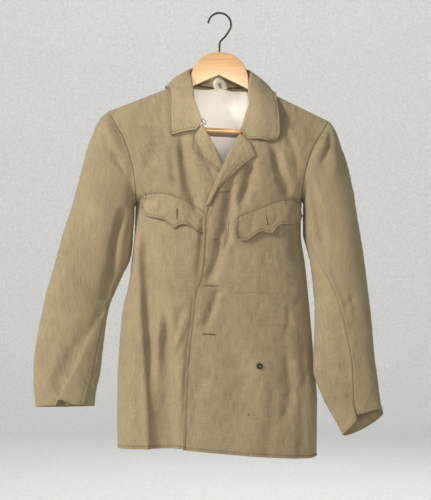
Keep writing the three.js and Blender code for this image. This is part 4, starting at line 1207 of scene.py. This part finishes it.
COLLAR_ROLL = Curve(
    (0, -33, -52, -212.5), (1, -42, -42, -186), (2, -49.5, -31, -163), (3, -51, -19, -144),
    (3.5, -55, -14, -127), (4, -60, -6, -112), (5, -58, 11, -105), (6, -47, 28, -101),
    (7, -25, 40, -98), (8, 0, 44, -97), (9, 25, 40, -98.5), (10, 47, 28, -103),
    (11, 58.5, 11, -108), (12, 61, -6, -117), (12.5, 57.5, -14, -132), (13, 56, -19, -150),
    (14, 57, -31, -171), (15, 49.5, -45, -197.5), (16, 41, -57, -228),
)
COLLAR_EDGE = Curve(
    (0, -97.5, -53, -239.5), (1, -98.5, -44, -206), (2, -99, -28, -174), (3, -103, -9, -149),
    (4, -106.5, 10, -142.5), (5, -101, 38, -148.5), (6, -70, 59, -158), (7, -36, 66, -163),
    (8, 0, 68, -165), (9, 38, 66, -165), (10, 73, 59, -162), (11, 102, 38, -155),
    (12, 109, 12, -153.5), (13, 111, -8, -161), (14, 113.5, -29, -180), (15, 116.5, -49, -213.5),
    (15.45, 117, -52, -232), (15.75, 113, -55, -244), (16, 103, -58, -250),
)
COLLAR_FOOT = Curve(
    (0, -34, -45, -213), (1, -44, -35, -187.5), (2, -53.5, -24, -164), (3, -57.5, -14, -141),
    (4, -60.5, -3, -128), (5, -58.5, 14, -128.5), (6, -46, 32.5, -134), (7, -25, 41.5, -138.5),
    (8, 0, 44, -140.5), (9, 25, 41.5, -140), (10, 46, 32.5, -137.5), (11, 58.5, 14, -133.5),
    (12, 61, -3, -133.5), (13, 58, -15, -149), (14, 57, -26, -173), (15, 50, -38, -199),
    (16, 41, -50, -229),
)
DROOP = Curve((0, 12), (1, 2), (2, 0), (14, 0), (15, 2), (16, 15))
DROOP_SHAPE = Curve((0, 0), (0.08, 0.6), (0.18, 1), (0.3, 0.92), (0.58, 0.56), (0.86, 0.28), (1, 0))


def shoulder_line(x):
    return RIDGE - np.abs(x) * np.where(x < 0, 84.5 / 218, 104 / 214.5)


def clear_of_shoulder(p):
    """Lifts points of the fall clear of the shoulder below them, and of the fronts."""
    air = LIFT + DOUBLE + 0.3
    x, y, z = np.moveaxis(p, -1, 0)
    line = shoulder_line(x)
    over = (np.abs(y) < 16) & (np.abs(x) > 60)
    z = np.where(over, np.maximum(z, line - 10 * (y / 16) ** 2 + air + 2), z)
    low = (y < -8) & (z < line - 3)
    for side in SIDE_SIGN:
        mine = low & ((x < 0) == (side == "right"))
        if mine.any():
            on = on_front(side, x[mine], z[mine], air)[0]
            y = y.copy()
            y[mine] = np.minimum(y[mine], on[..., 1])
    return np.stack([x, y, z], axis=-1)


@lru_cache(None)
def collar_cloth():
    """The collar: foot, stand, the roll over the top, and the fall down to the outer edge."""
    at = spaced(560, 13, 3.2) * 16
    roll, edge, foot = COLLAR_ROLL(at), COLLAR_EDGE(at), COLLAR_FOOT(at)
    along = unit(COLLAR_ROLL(at + 0.1) - COLLAR_ROLL(at - 0.1))
    fall = edge - roll
    sideways = unit(fall - along * (fall * along).sum(axis=-1, keepdims=True))
    out = unit(np.cross(along, sideways))

    def near(a, n):
        return roll + sideways * a * ROLL + out * n * ROLL

    stand = near(1, -2)
    rows = [foot, mix(foot, stand, 0.5), stand, near(0.2, -1.6), near(0, -1), near(0.25, -0.3)]
    for t in (0.16, 0.36, 0.58, 0.8, 1):
        p = roll + fall * t + out * (5 * math.sin(math.pi * t))
        p[..., 2] -= DROOP(at)[..., 0] * DROOP_SHAPE(t)[0]
        rows.append(clear_of_shoulder(p))
    points = through(np.stack(rows, axis=1), 66)
    cloth = Cloth(points, 1)
    x, y, z = np.moveaxis(cloth.points, -1, 0)
    outward = smooth((cloth.u / cloth.u[:, -1:] - 0.4) / 0.3)
    relief = 0.7 * unevenness(x + y, z, 40, 51) + 0.2 * unevenness(x + y, z, 15, 52)
    cloth.raise_by(relief * outward)
    inset = sizes().inset
    borders = {"end": ("turned", inset), "top": ("turned", inset), "foot": ("turned", inset)}
    return cloth.sew(borders, 8)


# Lapels: columns are q, xr, zr on the roll line, xe, ze on the outer edge

LEFT_LAPEL = Curve(
    (0, 38.7, -236, 69.5, -280), (0.2, 28.5, -252, 60.5, -286.5), (0.4, 15, -278, 46, -297.5),
    (0.58, 2, -305.5, 31.5, -310.5), (0.7, -7.5, -327, 17, -323), (0.8, -14.5, -342, 4, -335),
    (0.9, -22, -363, -7, -350), (1, -26, -377, -18, -371),
)
RIGHT_LAPEL = Curve(
    (0, -32, -217, -52, -268.5), (0.2, -27.5, -228, -46, -275.5), (0.45, -16, -248, -34, -285),
    (0.7, -3, -272, -20.5, -296), (0.85, 4, -288, -8, -306), (1, 11, -306, 6, -313.5),
)
GORGE = Curve((0, 0), (0.25, 0.7), (0.45, 1), (0.7, 0.6), (1, 0))


@lru_cache(None)
def lapel_cloth(side):
    """A lapel: it wraps the front's edge at the roll line and lies back out to its own edge."""
    shape, bend = (LEFT_LAPEL, 6) if side == "left" else (RIGHT_LAPEL, -7)
    q = spaced(150, 12, 2.6)
    xr, zr, xe, ze = np.moveaxis(shape(q), -1, 0)
    dx, dz = xe - xr, ze - zr
    length = np.hypot(dx, dz)
    ex, ez = dx / length, dz / length
    reached = WRAP + 1.5
    s, t = locate(side, xr + ex * reached, zr + ez * reached)
    held = front_point(side, s, t)[..., 1]
    rows = []
    for reach, rise in ((7, 4.6), (1.3, 3.7), (0, 0.8), (1.3, -2.1)):
        rows.append(np.stack([xr + ex * reach, held + rise, zr + ez * reach], axis=-1))
    bend_at = bend * (1 - smooth(q / 0.3))
    for t in (0.14, 0.3, 0.5, 0.7, 0.86, 1):
        x = xr + dx * t + bend_at * GORGE(t)[0]
        z = zr + dz * t + np.abs(bend_at) * 0.35 * GORGE(t)[0]
        lift = LIFT + DOUBLE + 1.5 * math.sin(math.pi * t)
        on = on_front(side, x, z, lift)[0]
        rows.append(np.stack([x, np.minimum(on[..., 1], held - 2.1), z], axis=-1))
    points = through(np.stack(rows, axis=1), 44)
    cloth = Cloth(points, SIDE_SIGN[side])
    x, z = cloth.points[..., 0], cloth.points[..., 2]
    lying = smooth((cloth.u / cloth.u[:, -1:] - 0.35) / 0.2)
    cloth.raise_by((0.5 * unevenness(x, z, 34, 61) + 0.4) * lying)
    inset = sizes().inset
    borders = {"end": ("turned", inset), "top": ("turned", 1.5)}
    return cloth.sew(borders, 9)


# Pocket flaps: columns are t, x, z

RIGHT_FLAP_TOP = Curve(
    (0, -145, -352), (0.06, -138, -349.5), (0.25, -118, -349), (0.4, -99.5, -350.5),
    (0.56, -79, -358.5), (0.78, -49.5, -373), (1, -24, -390),
)
RIGHT_FLAP_FOOT = Curve(
    (0, -147.5, -376), (0.03, -145.5, -388), (0.08, -140, -394.5), (0.22, -120, -400),
    (0.34, -106, -402.5), (0.42, -95.5, -412), (0.48, -87.5, -419), (0.56, -76, -413.5),
    (0.64, -66, -411.5), (0.76, -50, -420), (0.86, -39.5, -425), (1, -24, -429),
)
LEFT_FLAP_TOP = Curve(
    (0, 31.5, -400), (0.06, 37, -395), (0.22, 55, -387.5), (0.4, 76.5, -379), (0.58, 99, -369.5),
    (0.78, 124.5, -362.5), (0.94, 144, -364.5), (1, 151, -370),
)
LEFT_FLAP_FOOT = Curve(
    (0, 32, -425), (0.04, 35, -438.5), (0.1, 43, -444), (0.18, 53, -442), (0.28, 65, -433.5),
    (0.38, 79, -426), (0.48, 91, -428.5), (0.54, 98.5, -429), (0.6, 106, -420),
    (0.68, 116, -412.5), (0.82, 132, -411.5), (0.94, 148, -408.5), (1, 154.5, -394),
)
FLAP_CREASES = {
    "right": (
        (-137, -345, -133, -362, -127, -382, 3.5, 5, 4.5),
        (-108, -356, -111, -376, -116, -396, 3.5, 5, 4),
        (-66, -366, -62, -390, -56, -412, 4, 7, 3),
    ),
    "left": (
        (140, -364, 138, -384, 132, -404, 4, 5, 1.3),
        (62, -392, 60, -412, 56, -432, 4, 6, 1.4),
        (110, -372, 108, -388, 112, -404, 4, 5, 1),
    ),
}
FLAPS = {"right": (RIGHT_FLAP_TOP, RIGHT_FLAP_FOOT), "left": (LEFT_FLAP_TOP, LEFT_FLAP_FOOT)}


@lru_cache(None)
def flap_cloth(side):
    """A pocket flap: it lies on its front, held at its top and standing off toward its foot."""
    top, foot = FLAPS[side]
    down, t = grid(spaced(60, 12, 2.4), spaced(150, 12, 2.2))
    upper, lower = top(t), foot(t)
    x = mix(upper[..., 0], lower[..., 0], down)
    z = mix(upper[..., 1], lower[..., 1], down)
    on, normal = on_front(side, x, z)
    swell = 0.8 * unevenness(x, z, 34, 71 + SIDE_SIGN[side]) + 1.2
    swell = swell * smooth(down * 2) - creases(FLAP_CREASES[side], x, z)
    lift = LIFT + DOUBLE - 0.6 + down * 1.6 + np.maximum(swell, -0.4)
    cloth = Cloth(on + normal * lift[..., None], 1)
    inset = sizes().inset
    borders = {name: ("turned", inset) for name in ("foot", "start", "end")}
    borders["top"] = ("turned", 2.2)
    return cloth.sew(borders, 12)


# Operators: one for each group of pieces


class JacketStep(bpy.types.Operator):
    """A step of making the jacket"""

    bl_options = {"REGISTER", "UNDO"}

    def execute(self, _context):
        self.make()
        return {"FINISHED"}


def shell_piece(node, cloths, thick, *worn):
    """A piece of the khaki shell in place of its CAD node."""
    cloth_piece(f"cloth_{node}", cloths, thick, finish_of("cloth"), (node,), worn)


class JACKET_OT_fronts(JacketStep):
    """Hang the two fronts"""

    bl_idname = "jacket.fronts"
    bl_label = "Fronts"

    def make(self):
        for side in SIDE_SIGN:
            shell_piece(f"front_{side}", [front_cloth(side)], sizes().shell, "foot", "start")


class JACKET_OT_back(JacketStep):
    """Hang the back, its half lining and the loop at the nape"""

    bl_idname = "jacket.back"
    bl_label = "Back and lining"

    def make(self):
        shell_piece("back", [back_cloth()], sizes().shell, "foot")
        cloth_piece("lining_back", [lining_cloth()], sizes().lining, finish_of("lining"),
                    ("back_lining",))
        tape_loop()


def lining_cloth():
    """The half lining, a little inside the back and 3 mm past its edge at the nape."""
    q, side = grid(np.linspace(0, 1, 84), np.linspace(-0.62, 0.62, 90))
    lined_from = mix(0.002, 0.019, smooth(np.abs(side[:1]) / NECK_AT))
    base = Cloth(back_point(mix(lined_from, 0.38, q), side), -1)
    x, z = base.points[..., 0], base.points[..., 2]
    sag = 0.9 * unevenness(x, z * 0.5, 44, 81) + 0.3 * unevenness(x, z, 15, 82)
    sag -= creases(LINING_CREASES, x, z)
    behind = sizes().shell + 3.2 + 0.8 * np.clip(sag, -1.2, 2.5)
    points = base.points - base.normals * behind[..., None]
    points[..., 2] += 3.4 * (1 - smooth(q / 0.06)) * smooth((NECK_AT + 0.02 - np.abs(side)) / 0.05)
    return Cloth(points, -1)


def tape_loop():
    """The cream tape loop at the nape: a flat ribbon carried along its bend and turned on itself."""
    path = Curve((0, -4, 41, -145.4), (0.3, -8, 38.5, -132.5), (0.5, -2, 36.5, -126),
                 (0.7, 6, 37.5, -130.5), (1, 10, 40.6, -144.4))
    t = np.linspace(0, 1, 70)
    p = path(t)
    ahead = path(np.minimum(t + 0.02, 1)) - path(np.maximum(t - 0.02, 0))
    over = unit(np.stack([-ahead[:, 2], 0 * t, ahead[:, 0]], axis=-1))
    twist = 0.5 * np.sin(2 * np.pi * t)
    over = over * np.cos(twist)[:, None] + np.array([0, 1, 0]) * np.sin(twist)[:, None]
    k = np.linspace(-1, 1, 13)
    points = p[:, None] + over[:, None] * (5.4 * k)[None, :, None]
    points[..., 1] += 0.5 * np.sin(4 * k)[None, :] * np.sin(np.pi * t)[:, None]
    cloth_piece("tape_loop", [Cloth(points, 1)], 1.1, finish_of("tape"), ("hanger_loop",))


class JACKET_OT_sleeves(JacketStep):
    """Hang both sleeves, in their top and under halves, with the right cuff's fold"""

    bl_idname = "jacket.sleeves"
    bl_label = "Sleeves"

    def make(self):
        for side in SIDE_SIGN:
            for half in ("top", "under"):
                cloths = [sleeve_cloth(side, half)]
                if (side, half) == ("right", "top"):
                    cloths.append(pleat_cloth())
                shell_piece(f"sleeve_{side}_{half}", cloths, sizes().shell, "foot")


class JACKET_OT_collar(JacketStep):
    """Lay the collar and the two lapels"""

    bl_idname = "jacket.collar"
    bl_label = "Collar and lapels"

    def make(self):
        shell_piece("collar", [collar_cloth()], sizes().double, "end")
        for side in SIDE_SIGN:
            shell_piece(f"lapel_{side}", [lapel_cloth(side)], sizes().double, "end")


class JACKET_OT_flaps(JacketStep):
    """Lay the two pocket flaps"""

    bl_idname = "jacket.flaps"
    bl_label = "Pocket flaps"

    def make(self):
        for side in SIDE_SIGN:
            shell_piece(f"pocket_flap_{side}", [flap_cloth(side)], sizes().double, "foot")


# Buttonholes: x, z of the middle, half length, direction in degrees, whether its eye is at the
# start or at the end, how far it gapes and how wide its eye is. Those of the front, then the flaps'.
BUTTONHOLES = (
    ("left", 10.5, -349.5, 8, 3, 0, 0.1, 0.3), ("left", -3, -440.5, 8, 4, 0, 0.1, 0.3),
    ("left", -14.5, -528.5, 12, -2, 0, 0.28, 0.8), ("left", -19.5, -621, 12, -4, 0, 0.28, 1.6),
)
FLAP_BUTTONHOLES = (
    ("right", -81.5, -390.5, 9, -88, 1, 0.2, 1.6), ("left", 90.5, -402.5, 9, -80, 1, 0.2, 1.6),
)

# Lines of stitches across the fronts, which hold the inner pockets: side, seed, then x, z along them
STITCHED_LINES = (
    ("left", 50, ((24, -540), (140, -545))),
    ("left", 51, ((85, -606), (107, -603.5), (151, -610))),
    ("right", 52, ((-181, -577), (-178, -600), (-180, -622))),
    ("right", 50, ((-123, -534), (-50, -538))),
)


def beside_back_seam(shift):
    """Points and normals along the back, at a distance to one side of its centre seam."""
    back = back_cloth()
    share = np.linspace(0.02, 0.985, 150)
    rows = share * (back.points.shape[0] - 1)
    x = BACK_CENTRE(share)[:, 0] + shift
    every = np.arange(back.points.shape[1])
    columns = [np.interp(at, back.points[int(row), :, 0], every) for at, row in zip(x, rows)]
    return back.at(rows, np.array(columns))


def bars(points, sideways, normals, half, thick):
    """Buttonhole stitches: threads laid side by side across an edge."""
    start = points - sideways * half - normals * 0.2
    end = points + sideways * half - normals * 0.2
    return start, points + normals * 0.45, end, normals, thick


def buttonhole(surface, x, z, half, degrees, eye_end, gape, eye):
    """A worked buttonhole on a surface: threads along both lips, round its eye, and a dark
    sheet in its slit, a painted shadow of the opening.
    """
    turn = math.radians(degrees)
    direction = np.array([math.cos(turn), math.sin(turn)])
    off = np.array([-direction[1], direction[0]])
    eye_at = 1 if eye_end else -1
    threads = []
    along = np.arange(-half, half + 0.01, 0.75)
    along = along[along * eye_at < half - 1.4]
    for lip in (-1, 1):
        px = x + direction[0] * along + off[0] * lip * 0.9
        pz = z + direction[1] * along + off[1] * lip * 0.9
        points, normals = surface(px, pz)
        sideways = np.broadcast_to(unit(np.array([off[0], 0, off[1]])), points.shape)
        threads.append(bars(points, sideways, normals, 0.65, 0.4))
    for end, radius in ((eye_at, 2), (-eye_at, 0.9)):
        spin = around(16)
        cx, cz = x + direction[0] * half * end, z + direction[1] * half * end
        points, normals = surface(cx + radius * np.cos(spin), cz + radius * np.sin(spin))
        sideways = unit(np.stack([np.cos(spin), 0 * spin, np.sin(spin)], -1))
        threads.append(bars(points, sideways, normals, 0.7, 0.4))
    t, k = grid(np.linspace(-1, 1, 25), np.linspace(-1, 1, 5))
    wide = gape + eye * bell(t - eye_at, 0.12)
    points, normals = surface(x + direction[0] * half * t + off[0] * k * wide,
                              z + direction[1] * half * t + off[1] * k * wide)
    return threads, points + normals * 0.3


def flap_surface(side):
    """Finds points and normals of a flap's own surface from places in the front view."""
    cloth = flap_cloth(side)
    flat = cloth.points.reshape(-1, 3)

    def find(x, z):
        shape = (*x.shape, 3)
        x, z = x.ravel(), z.ravel()
        away = (flat[:, :1] - x) ** 2 + (flat[:, 2:] - z) ** 2
        nearest = away.argmin(axis=0)
        points = flat[nearest]
        normals = cloth.normals.reshape(-1, 3)[nearest]
        step = np.stack([x - points[:, 0], 0 * x, z - points[:, 2]], -1)
        facing = np.where(np.abs(normals[:, 1]) < 0.2, -0.2, normals[:, 1])
        step[:, 1] = -(step * normals).sum(axis=1) / facing
        return (points + step).reshape(shape), normals.reshape(shape)

    return find


class JACKET_OT_sewing(JacketStep):
    """Stitch the edges, hems and seams, and work the buttonholes"""

    bl_idname = "jacket.sewing"
    bl_label = "Stitches and buttonholes"

    def make(self):
        size = sizes()
        pitch, long, inset = size.pitch, size.stitch, size.inset
        left, right = front_cloth("left"), front_cloth("right")
        collar = collar_cloth()
        groups = {
            "stitches_fronts": [
                (left.line("foot", inset + 0.5), 1), (right.line("foot", inset + 0.5), 2),
                (left.line("start", inset, 0.42), 3), (right.line("start", inset, 0.42), 4),
                (left.line("start", 1.6, 0.42), 7),
            ],
            "stitches_back": [
                (back_cloth().line("foot", inset + 0.5), 11), (beside_back_seam(-3), 12),
                (beside_back_seam(3), 13),
            ],
            "stitches_collar": [
                (collar.line("end", inset), 21), (collar.line("end", 1.6), 22),
                (collar.line("top", inset, 0.45), 23), (collar.line("foot", inset, 0.45), 24),
            ],
            "stitches_flaps": [],
            "stitches_sleeves": [
                (sleeve_cloth("left", "top").line("end", 2.4, 0.93), 43),
                (sleeve_cloth("right", "top").line("end", 2.4, 0.55), 43),
            ],
        }
        for side in SIDE_SIGN:
            lapel, flap = lapel_cloth(side), flap_cloth(side)
            groups["stitches_collar"] += [
                (lapel.line("end", inset), 25), (lapel.line("end", 1.6), 26), (lapel.line("top", 2, 0.4), 27),
            ]
            groups["stitches_flaps"] += [
                (flap.line("foot", inset), 31), (flap.line("start", inset), 32),
                (flap.line("end", inset), 33), (flap.line("top", 2.2), 34), (flap.line("foot", 1.6), 35),
            ]
        for side, seed, line in STITCHED_LINES:
            marks = np.array(line, float)
            steps = np.linspace(0, len(marks) - 1, 60)
            x, z = (np.interp(steps, np.arange(len(marks)), marks[:, k]) for k in (0, 1))
            groups["stitches_fronts"].append((on_front(side, x, z), seed))
        for name, lines in groups.items():
            parts = [stitches(line, pitch, long, seed=seed) for line, seed in lines]
            strands(name, parts, finish_of("thread"))
        work_buttonholes()


def work_buttonholes():
    """The buttonholes of the fronts and of the flaps: one mesh of threads and one of the painted
    shadows in their slits.
    """
    threads, points, faces = [], [], []
    holes = [(partial(on_front, side), where) for side, *where in BUTTONHOLES]
    holes += [(flap_surface(side), where) for side, *where in FLAP_BUTTONHOLES]
    for n, (surface, where) in enumerate(holes):
        made, slit = buttonhole(surface, *where)
        threads += made
        count = slit.shape[0] * slit.shape[1]
        quads = cells(np.arange(count).reshape(slit.shape[:2]) + n * count)
        facing = np.cross(slit[1, 0] - slit[0, 0], slit[1, 1] - slit[0, 0])[1]
        points.append(slit.reshape(-1, 3))
        faces.append(quads if facing < 0 else quads[:, ::-1])
    strands("buttonhole_threads", threads, finish_of("buttonhole"))
    # A dark sheet in each slit: painted shadow of the opening
    mesh = new_mesh("buttonhole_slits", np.concatenate(points), np.concatenate(faces).tolist())
    slit = put("buttonhole_slits", mesh, finish_of("slit"))
    solidify = slit.modifiers.new("thickness", "SOLIDIFY")
    solidify.thickness = 0.0006
    solidify.offset = -1


class JACKET_OT_metal(JacketStep):
    """Fit the ring button, the wire eye and the hanger's hook"""

    bl_idname = "jacket.metal"
    bl_label = "Button, eye and hook"

    def make(self):
        ring_button()
        wire_eye()
        hook()


def ring_button():
    """The blacked ring: a rounded profile turned about its own axis, lying on the left front."""
    x, z = 76.5, -681.8
    seat = on_front("left", [x], [z])[0][0, 1] - 0.5
    profile = np.array([(2.2, 0), (5.4, 0), (5.8, 0.3), (6, 0.8), (6, 1.4), (5.8, 1.9), (5.4, 2.25),
                        (4.9, 2.4), (4.3, 2.35), (3.6, 2.1), (3, 1.7), (2.6, 1.3), (2.35, 0.8)])
    spin = around(56)
    radius, height = profile[:, :1], profile[:, 1:]
    points = np.stack([
        x + radius * np.cos(spin), seat - height + 0 * spin, z + radius * np.sin(spin),
    ], axis=-1)
    index = np.arange(len(profile) * 56).reshape(-1, 56)
    quads = cells(np.vstack([index, index[:1]]), closed=True)
    mesh = new_mesh("ring_button", points.reshape(-1, 3), quads.tolist())
    put("ring_button", mesh, finish_of("blacked"), ("front_ring_button",))
    spin = around(7)
    inner = np.stack([x + 1.7 * np.cos(spin), np.full(7, seat + 0.2), z + 1.7 * np.sin(spin)], -1)
    outer = np.stack([x + 3.4 * np.cos(spin), np.full(7, seat - 1.6), z + 3.4 * np.sin(spin)], -1)
    normal = np.broadcast_to((0.0, -1.0, 0.0), inner.shape)
    strands("ring_button_threads", [(inner, mix(inner, outer, 0.5) + normal * 0.5, outer, normal, 0.35)],
            finish_of("thread"))


def wire_eye():
    """The neck's wire eye: a narrow ring of wire, turned with the edge it is sewn to."""
    spin = around(72)
    turn = math.radians(-27)
    wide, tall = 2.7 * np.cos(spin), 6.07 * np.sin(spin)
    path = np.stack([
        -29.9 + wide * math.cos(turn) + tall * math.sin(turn), -52 + 0.3 * np.cos(2 * spin),
        -213.4 - wide * math.sin(turn) + tall * math.cos(turn),
    ], axis=-1)
    points, quads = tube(path, 0.6, 14, closed=True)
    put("wire_eye", new_mesh("wire_eye", points, quads), finish_of("wire"), ("neck_eye",))
    foot = path[[30, 33, 36, 39, 42]]
    start = foot + np.array([-1.6, 0.9, -0.6])
    end = foot + np.array([1.2, -0.2, 0.5])
    normal = np.broadcast_to((0.0, -1.0, 0.0), foot.shape)
    strands("wire_eye_threads", [(start, foot + np.array([0, -0.9, 0]), end, normal, 0.3)],
            finish_of("thread"))


def hook():
    """The hanger's hook: round wire up from the wood, leaning out, then bent back round the peg."""
    bend_radius = 22.4
    turn = np.radians(np.linspace(-38, 177.6, 12))
    arc = np.stack([bend_radius * np.cos(turn), 0 * turn, 2 - bend_radius + bend_radius * np.sin(turn)], -1)
    stem = np.array([(0, 0, -101), (0, 0, -80), (0, 0, -62), (0.6, 0, -56), (4, 0, -51), (10.5, 0, -44.5)])
    fine = through(np.vstack([stem, arc])[None], 190)[0]
    tip = np.full(len(fine), 2.0)
    tip[-5:] = (1.95, 1.8, 1.5, 1.0, 0.3)
    points, quads = tube(fine, tip, 22)
    put("wire_hook", new_mesh("wire_hook", points, quads), finish_of("wire"), ("hanger_hook",))


class JACKET_OT_hanger(JacketStep):
    """Round and varnish the wooden hanger and its bar"""

    bl_idname = "jacket.hanger"
    bl_label = "Hanger"

    def make(self):
        for node, width in (("hanger", 1.6), ("trouser_bar", 0.3)):
            source = next(o for o in bpy.data.objects if o.name == node or o.get("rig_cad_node") == node)
            mesh = source.data.copy()
            body = bmesh.new()
            body.from_mesh(mesh)
            bmesh.ops.remove_doubles(body, verts=body.verts, dist=0.00002)
            bmesh.ops.dissolve_limit(body, angle_limit=0.02, verts=body.verts, edges=body.edges)
            body.to_mesh(mesh)
            body.free()
            mesh.materials.clear()
            piece = put(f"wood_{node}", mesh, finish_of("wood"), (node,))
            rounding = piece.modifiers.new("rounding", "BEVEL")
            rounding.width = width * MM
            rounding.segments = 3
            rounding.limit_method = "ANGLE"
            rounding.angle_limit = math.radians(24)
            mesh.polygons.foreach_set("use_smooth", np.ones(len(mesh.polygons), bool))
            mesh.update()
            sharp = piece.modifiers.new("shading", "WEIGHTED_NORMAL")
            sharp.keep_sharp = False


# Camera: where it stands and what it takes in at the jacket's plane, mm
CAMERA = (-7.8, -3500, -460.2)
FRAME_HEIGHT = 975

# Floor: its height, and its flat and curved-up stretches and the wall's height, all in metres
FLOOR_Z = -1.25
FLAT, BEND, WALL = 4.2, 1.2, 6

# Lights: name, place and aim in metres, watts, size in metres and colour
LIGHTS = (
    ("key_light", (-2.8, -2.2, 1.6), (0, 0, -0.45), 150, 0.6, (1.0, 0.97, 0.92)),
    ("fill_light", (0.5, -3.7, 0.3), (0, 0, -0.3), 19, 1.4, (1.0, 0.99, 0.97)),
    ("back_light", (0.6, 2.6, 1.2), (0, 0, -0.4), 30, 1.6, (1.0, 1.0, 1.0)),
    ("backdrop_light", (0, 2.4, 2.6), (0, 5.2, -0.2), 48, 2.4, (1.0, 1.0, 1.0)),
)


class JACKET_OT_stage(JacketStep):
    """Set the floor, the backdrop, the lights and the camera"""

    bl_idname = "jacket.stage"
    bl_label = "Stage"

    def make(self):
        scene = bpy.context.scene
        floor()
        for name, place, aim, power, size, tint in LIGHTS:
            light = bpy.data.lights.new(name, "AREA")
            light.energy, light.size, light.color = power, size, tint
            hang_lamp(light, place, aim)
        neck_lamp()
        world = bpy.data.worlds.new("studio_air")
        world.use_nodes = True
        air = world.node_tree.nodes["Background"].inputs
        air[0].default_value = (0.86, 0.92, 1.0, 1)
        air[1].default_value = 0.11
        scene.world = world
        lens = bpy.data.cameras.new("camera")
        lens.sensor_fit = "VERTICAL"
        lens.sensor_height = 24
        lens.lens = lens.sensor_height / FRAME_HEIGHT * -CAMERA[1]
        lens.clip_end = 50
        camera = bpy.data.objects.new("camera", lens)
        camera.location = [c * MM for c in CAMERA]
        camera.rotation_euler = (math.pi / 2, 0, 0)
        scene.collection.objects.link(camera)
        scene.camera = camera
        scene.view_settings.view_transform = "Standard"


def floor():
    """A pale round floor that curves up into a wall on every side."""
    turn = np.linspace(0.1, np.pi / 2, 12)
    out = np.concatenate([np.linspace(0, FLAT, 10), FLAT + BEND * np.sin(turn), [FLAT + BEND] * 2])
    up = np.concatenate([np.zeros(10), BEND - BEND * np.cos(turn), [3.5, WALL]])
    spin = around(72)
    points = np.stack([
        out[:, None] * np.cos(spin), out[:, None] * np.sin(spin), up[:, None] + 0 * spin,
    ], axis=-1)
    points = (points + np.array([0, 0, FLOOR_Z])) / MM
    quads = cells(np.arange(len(up) * 72).reshape(-1, 72), closed=True)
    mesh = new_mesh("studio_floor", points.reshape(-1, 3), quads.tolist())
    mesh.materials.append(plain("studio_pale", (0.8, 0.8, 0.79), 0.95))
    made = bpy.data.objects.new("studio_floor", mesh)
    bpy.context.scene.collection.objects.link(made)


def hang_lamp(light, place, aim):
    """Puts a light at a place, pointing at another."""
    lamp = bpy.data.objects.new(light.name, light)
    lamp.location = place
    lamp.rotation_euler = Vector(np.array(aim) - np.array(place)).to_track_quat("-Z", "Y").to_euler()
    bpy.context.scene.collection.objects.link(lamp)


def neck_lamp():
    """A narrow, soft-edged lamp from the front, which reaches the lining inside the neck."""
    light = bpy.data.lights.new("neck_light", "SPOT")
    light.energy, light.spot_size, light.spot_blend = 300, math.radians(3.3), 1
    light.shadow_soft_size = 0.04
    hang_lamp(light, (0.12, -3.4, -0.02), (-0.01, 0.045, -0.195))


class JACKET_PT_panel(bpy.types.Panel):
    """Lists the steps in the 3D view's sidebar"""

    bl_idname = "JACKET_PT_panel"
    bl_label = "Jacket"
    bl_space_type = "VIEW_3D"
    bl_region_type = "UI"
    bl_category = "Jacket"

    def draw(self, context):
        for group in (context.scene.jacket_sizes, context.scene.jacket_colours):
            for name in group.__annotations__:
                self.layout.prop(group, name)
        for step in STEPS:
            self.layout.operator(step.bl_idname)


STEPS = (
    JACKET_OT_stage, JACKET_OT_fronts, JACKET_OT_back, JACKET_OT_sleeves, JACKET_OT_collar,
    JACKET_OT_flaps, JACKET_OT_sewing, JACKET_OT_metal, JACKET_OT_hanger,
)
CLASSES = (JacketSizes, JacketColours, *STEPS, JACKET_PT_panel)


def register():
    for made in CLASSES:
        bpy.utils.register_class(made)
    bpy.types.Scene.jacket_sizes = PointerProperty(type=JacketSizes)
    bpy.types.Scene.jacket_colours = PointerProperty(type=JacketColours)


def unregister():
    del bpy.types.Scene.jacket_colours
    del bpy.types.Scene.jacket_sizes
    for made in reversed(CLASSES):
        bpy.utils.unregister_class(made)


def main():
    register()
    for step in STEPS:
        group, name = step.bl_idname.split(".")
        getattr(getattr(bpy.ops, group), name)()


if __name__ == "__main__":
    main()
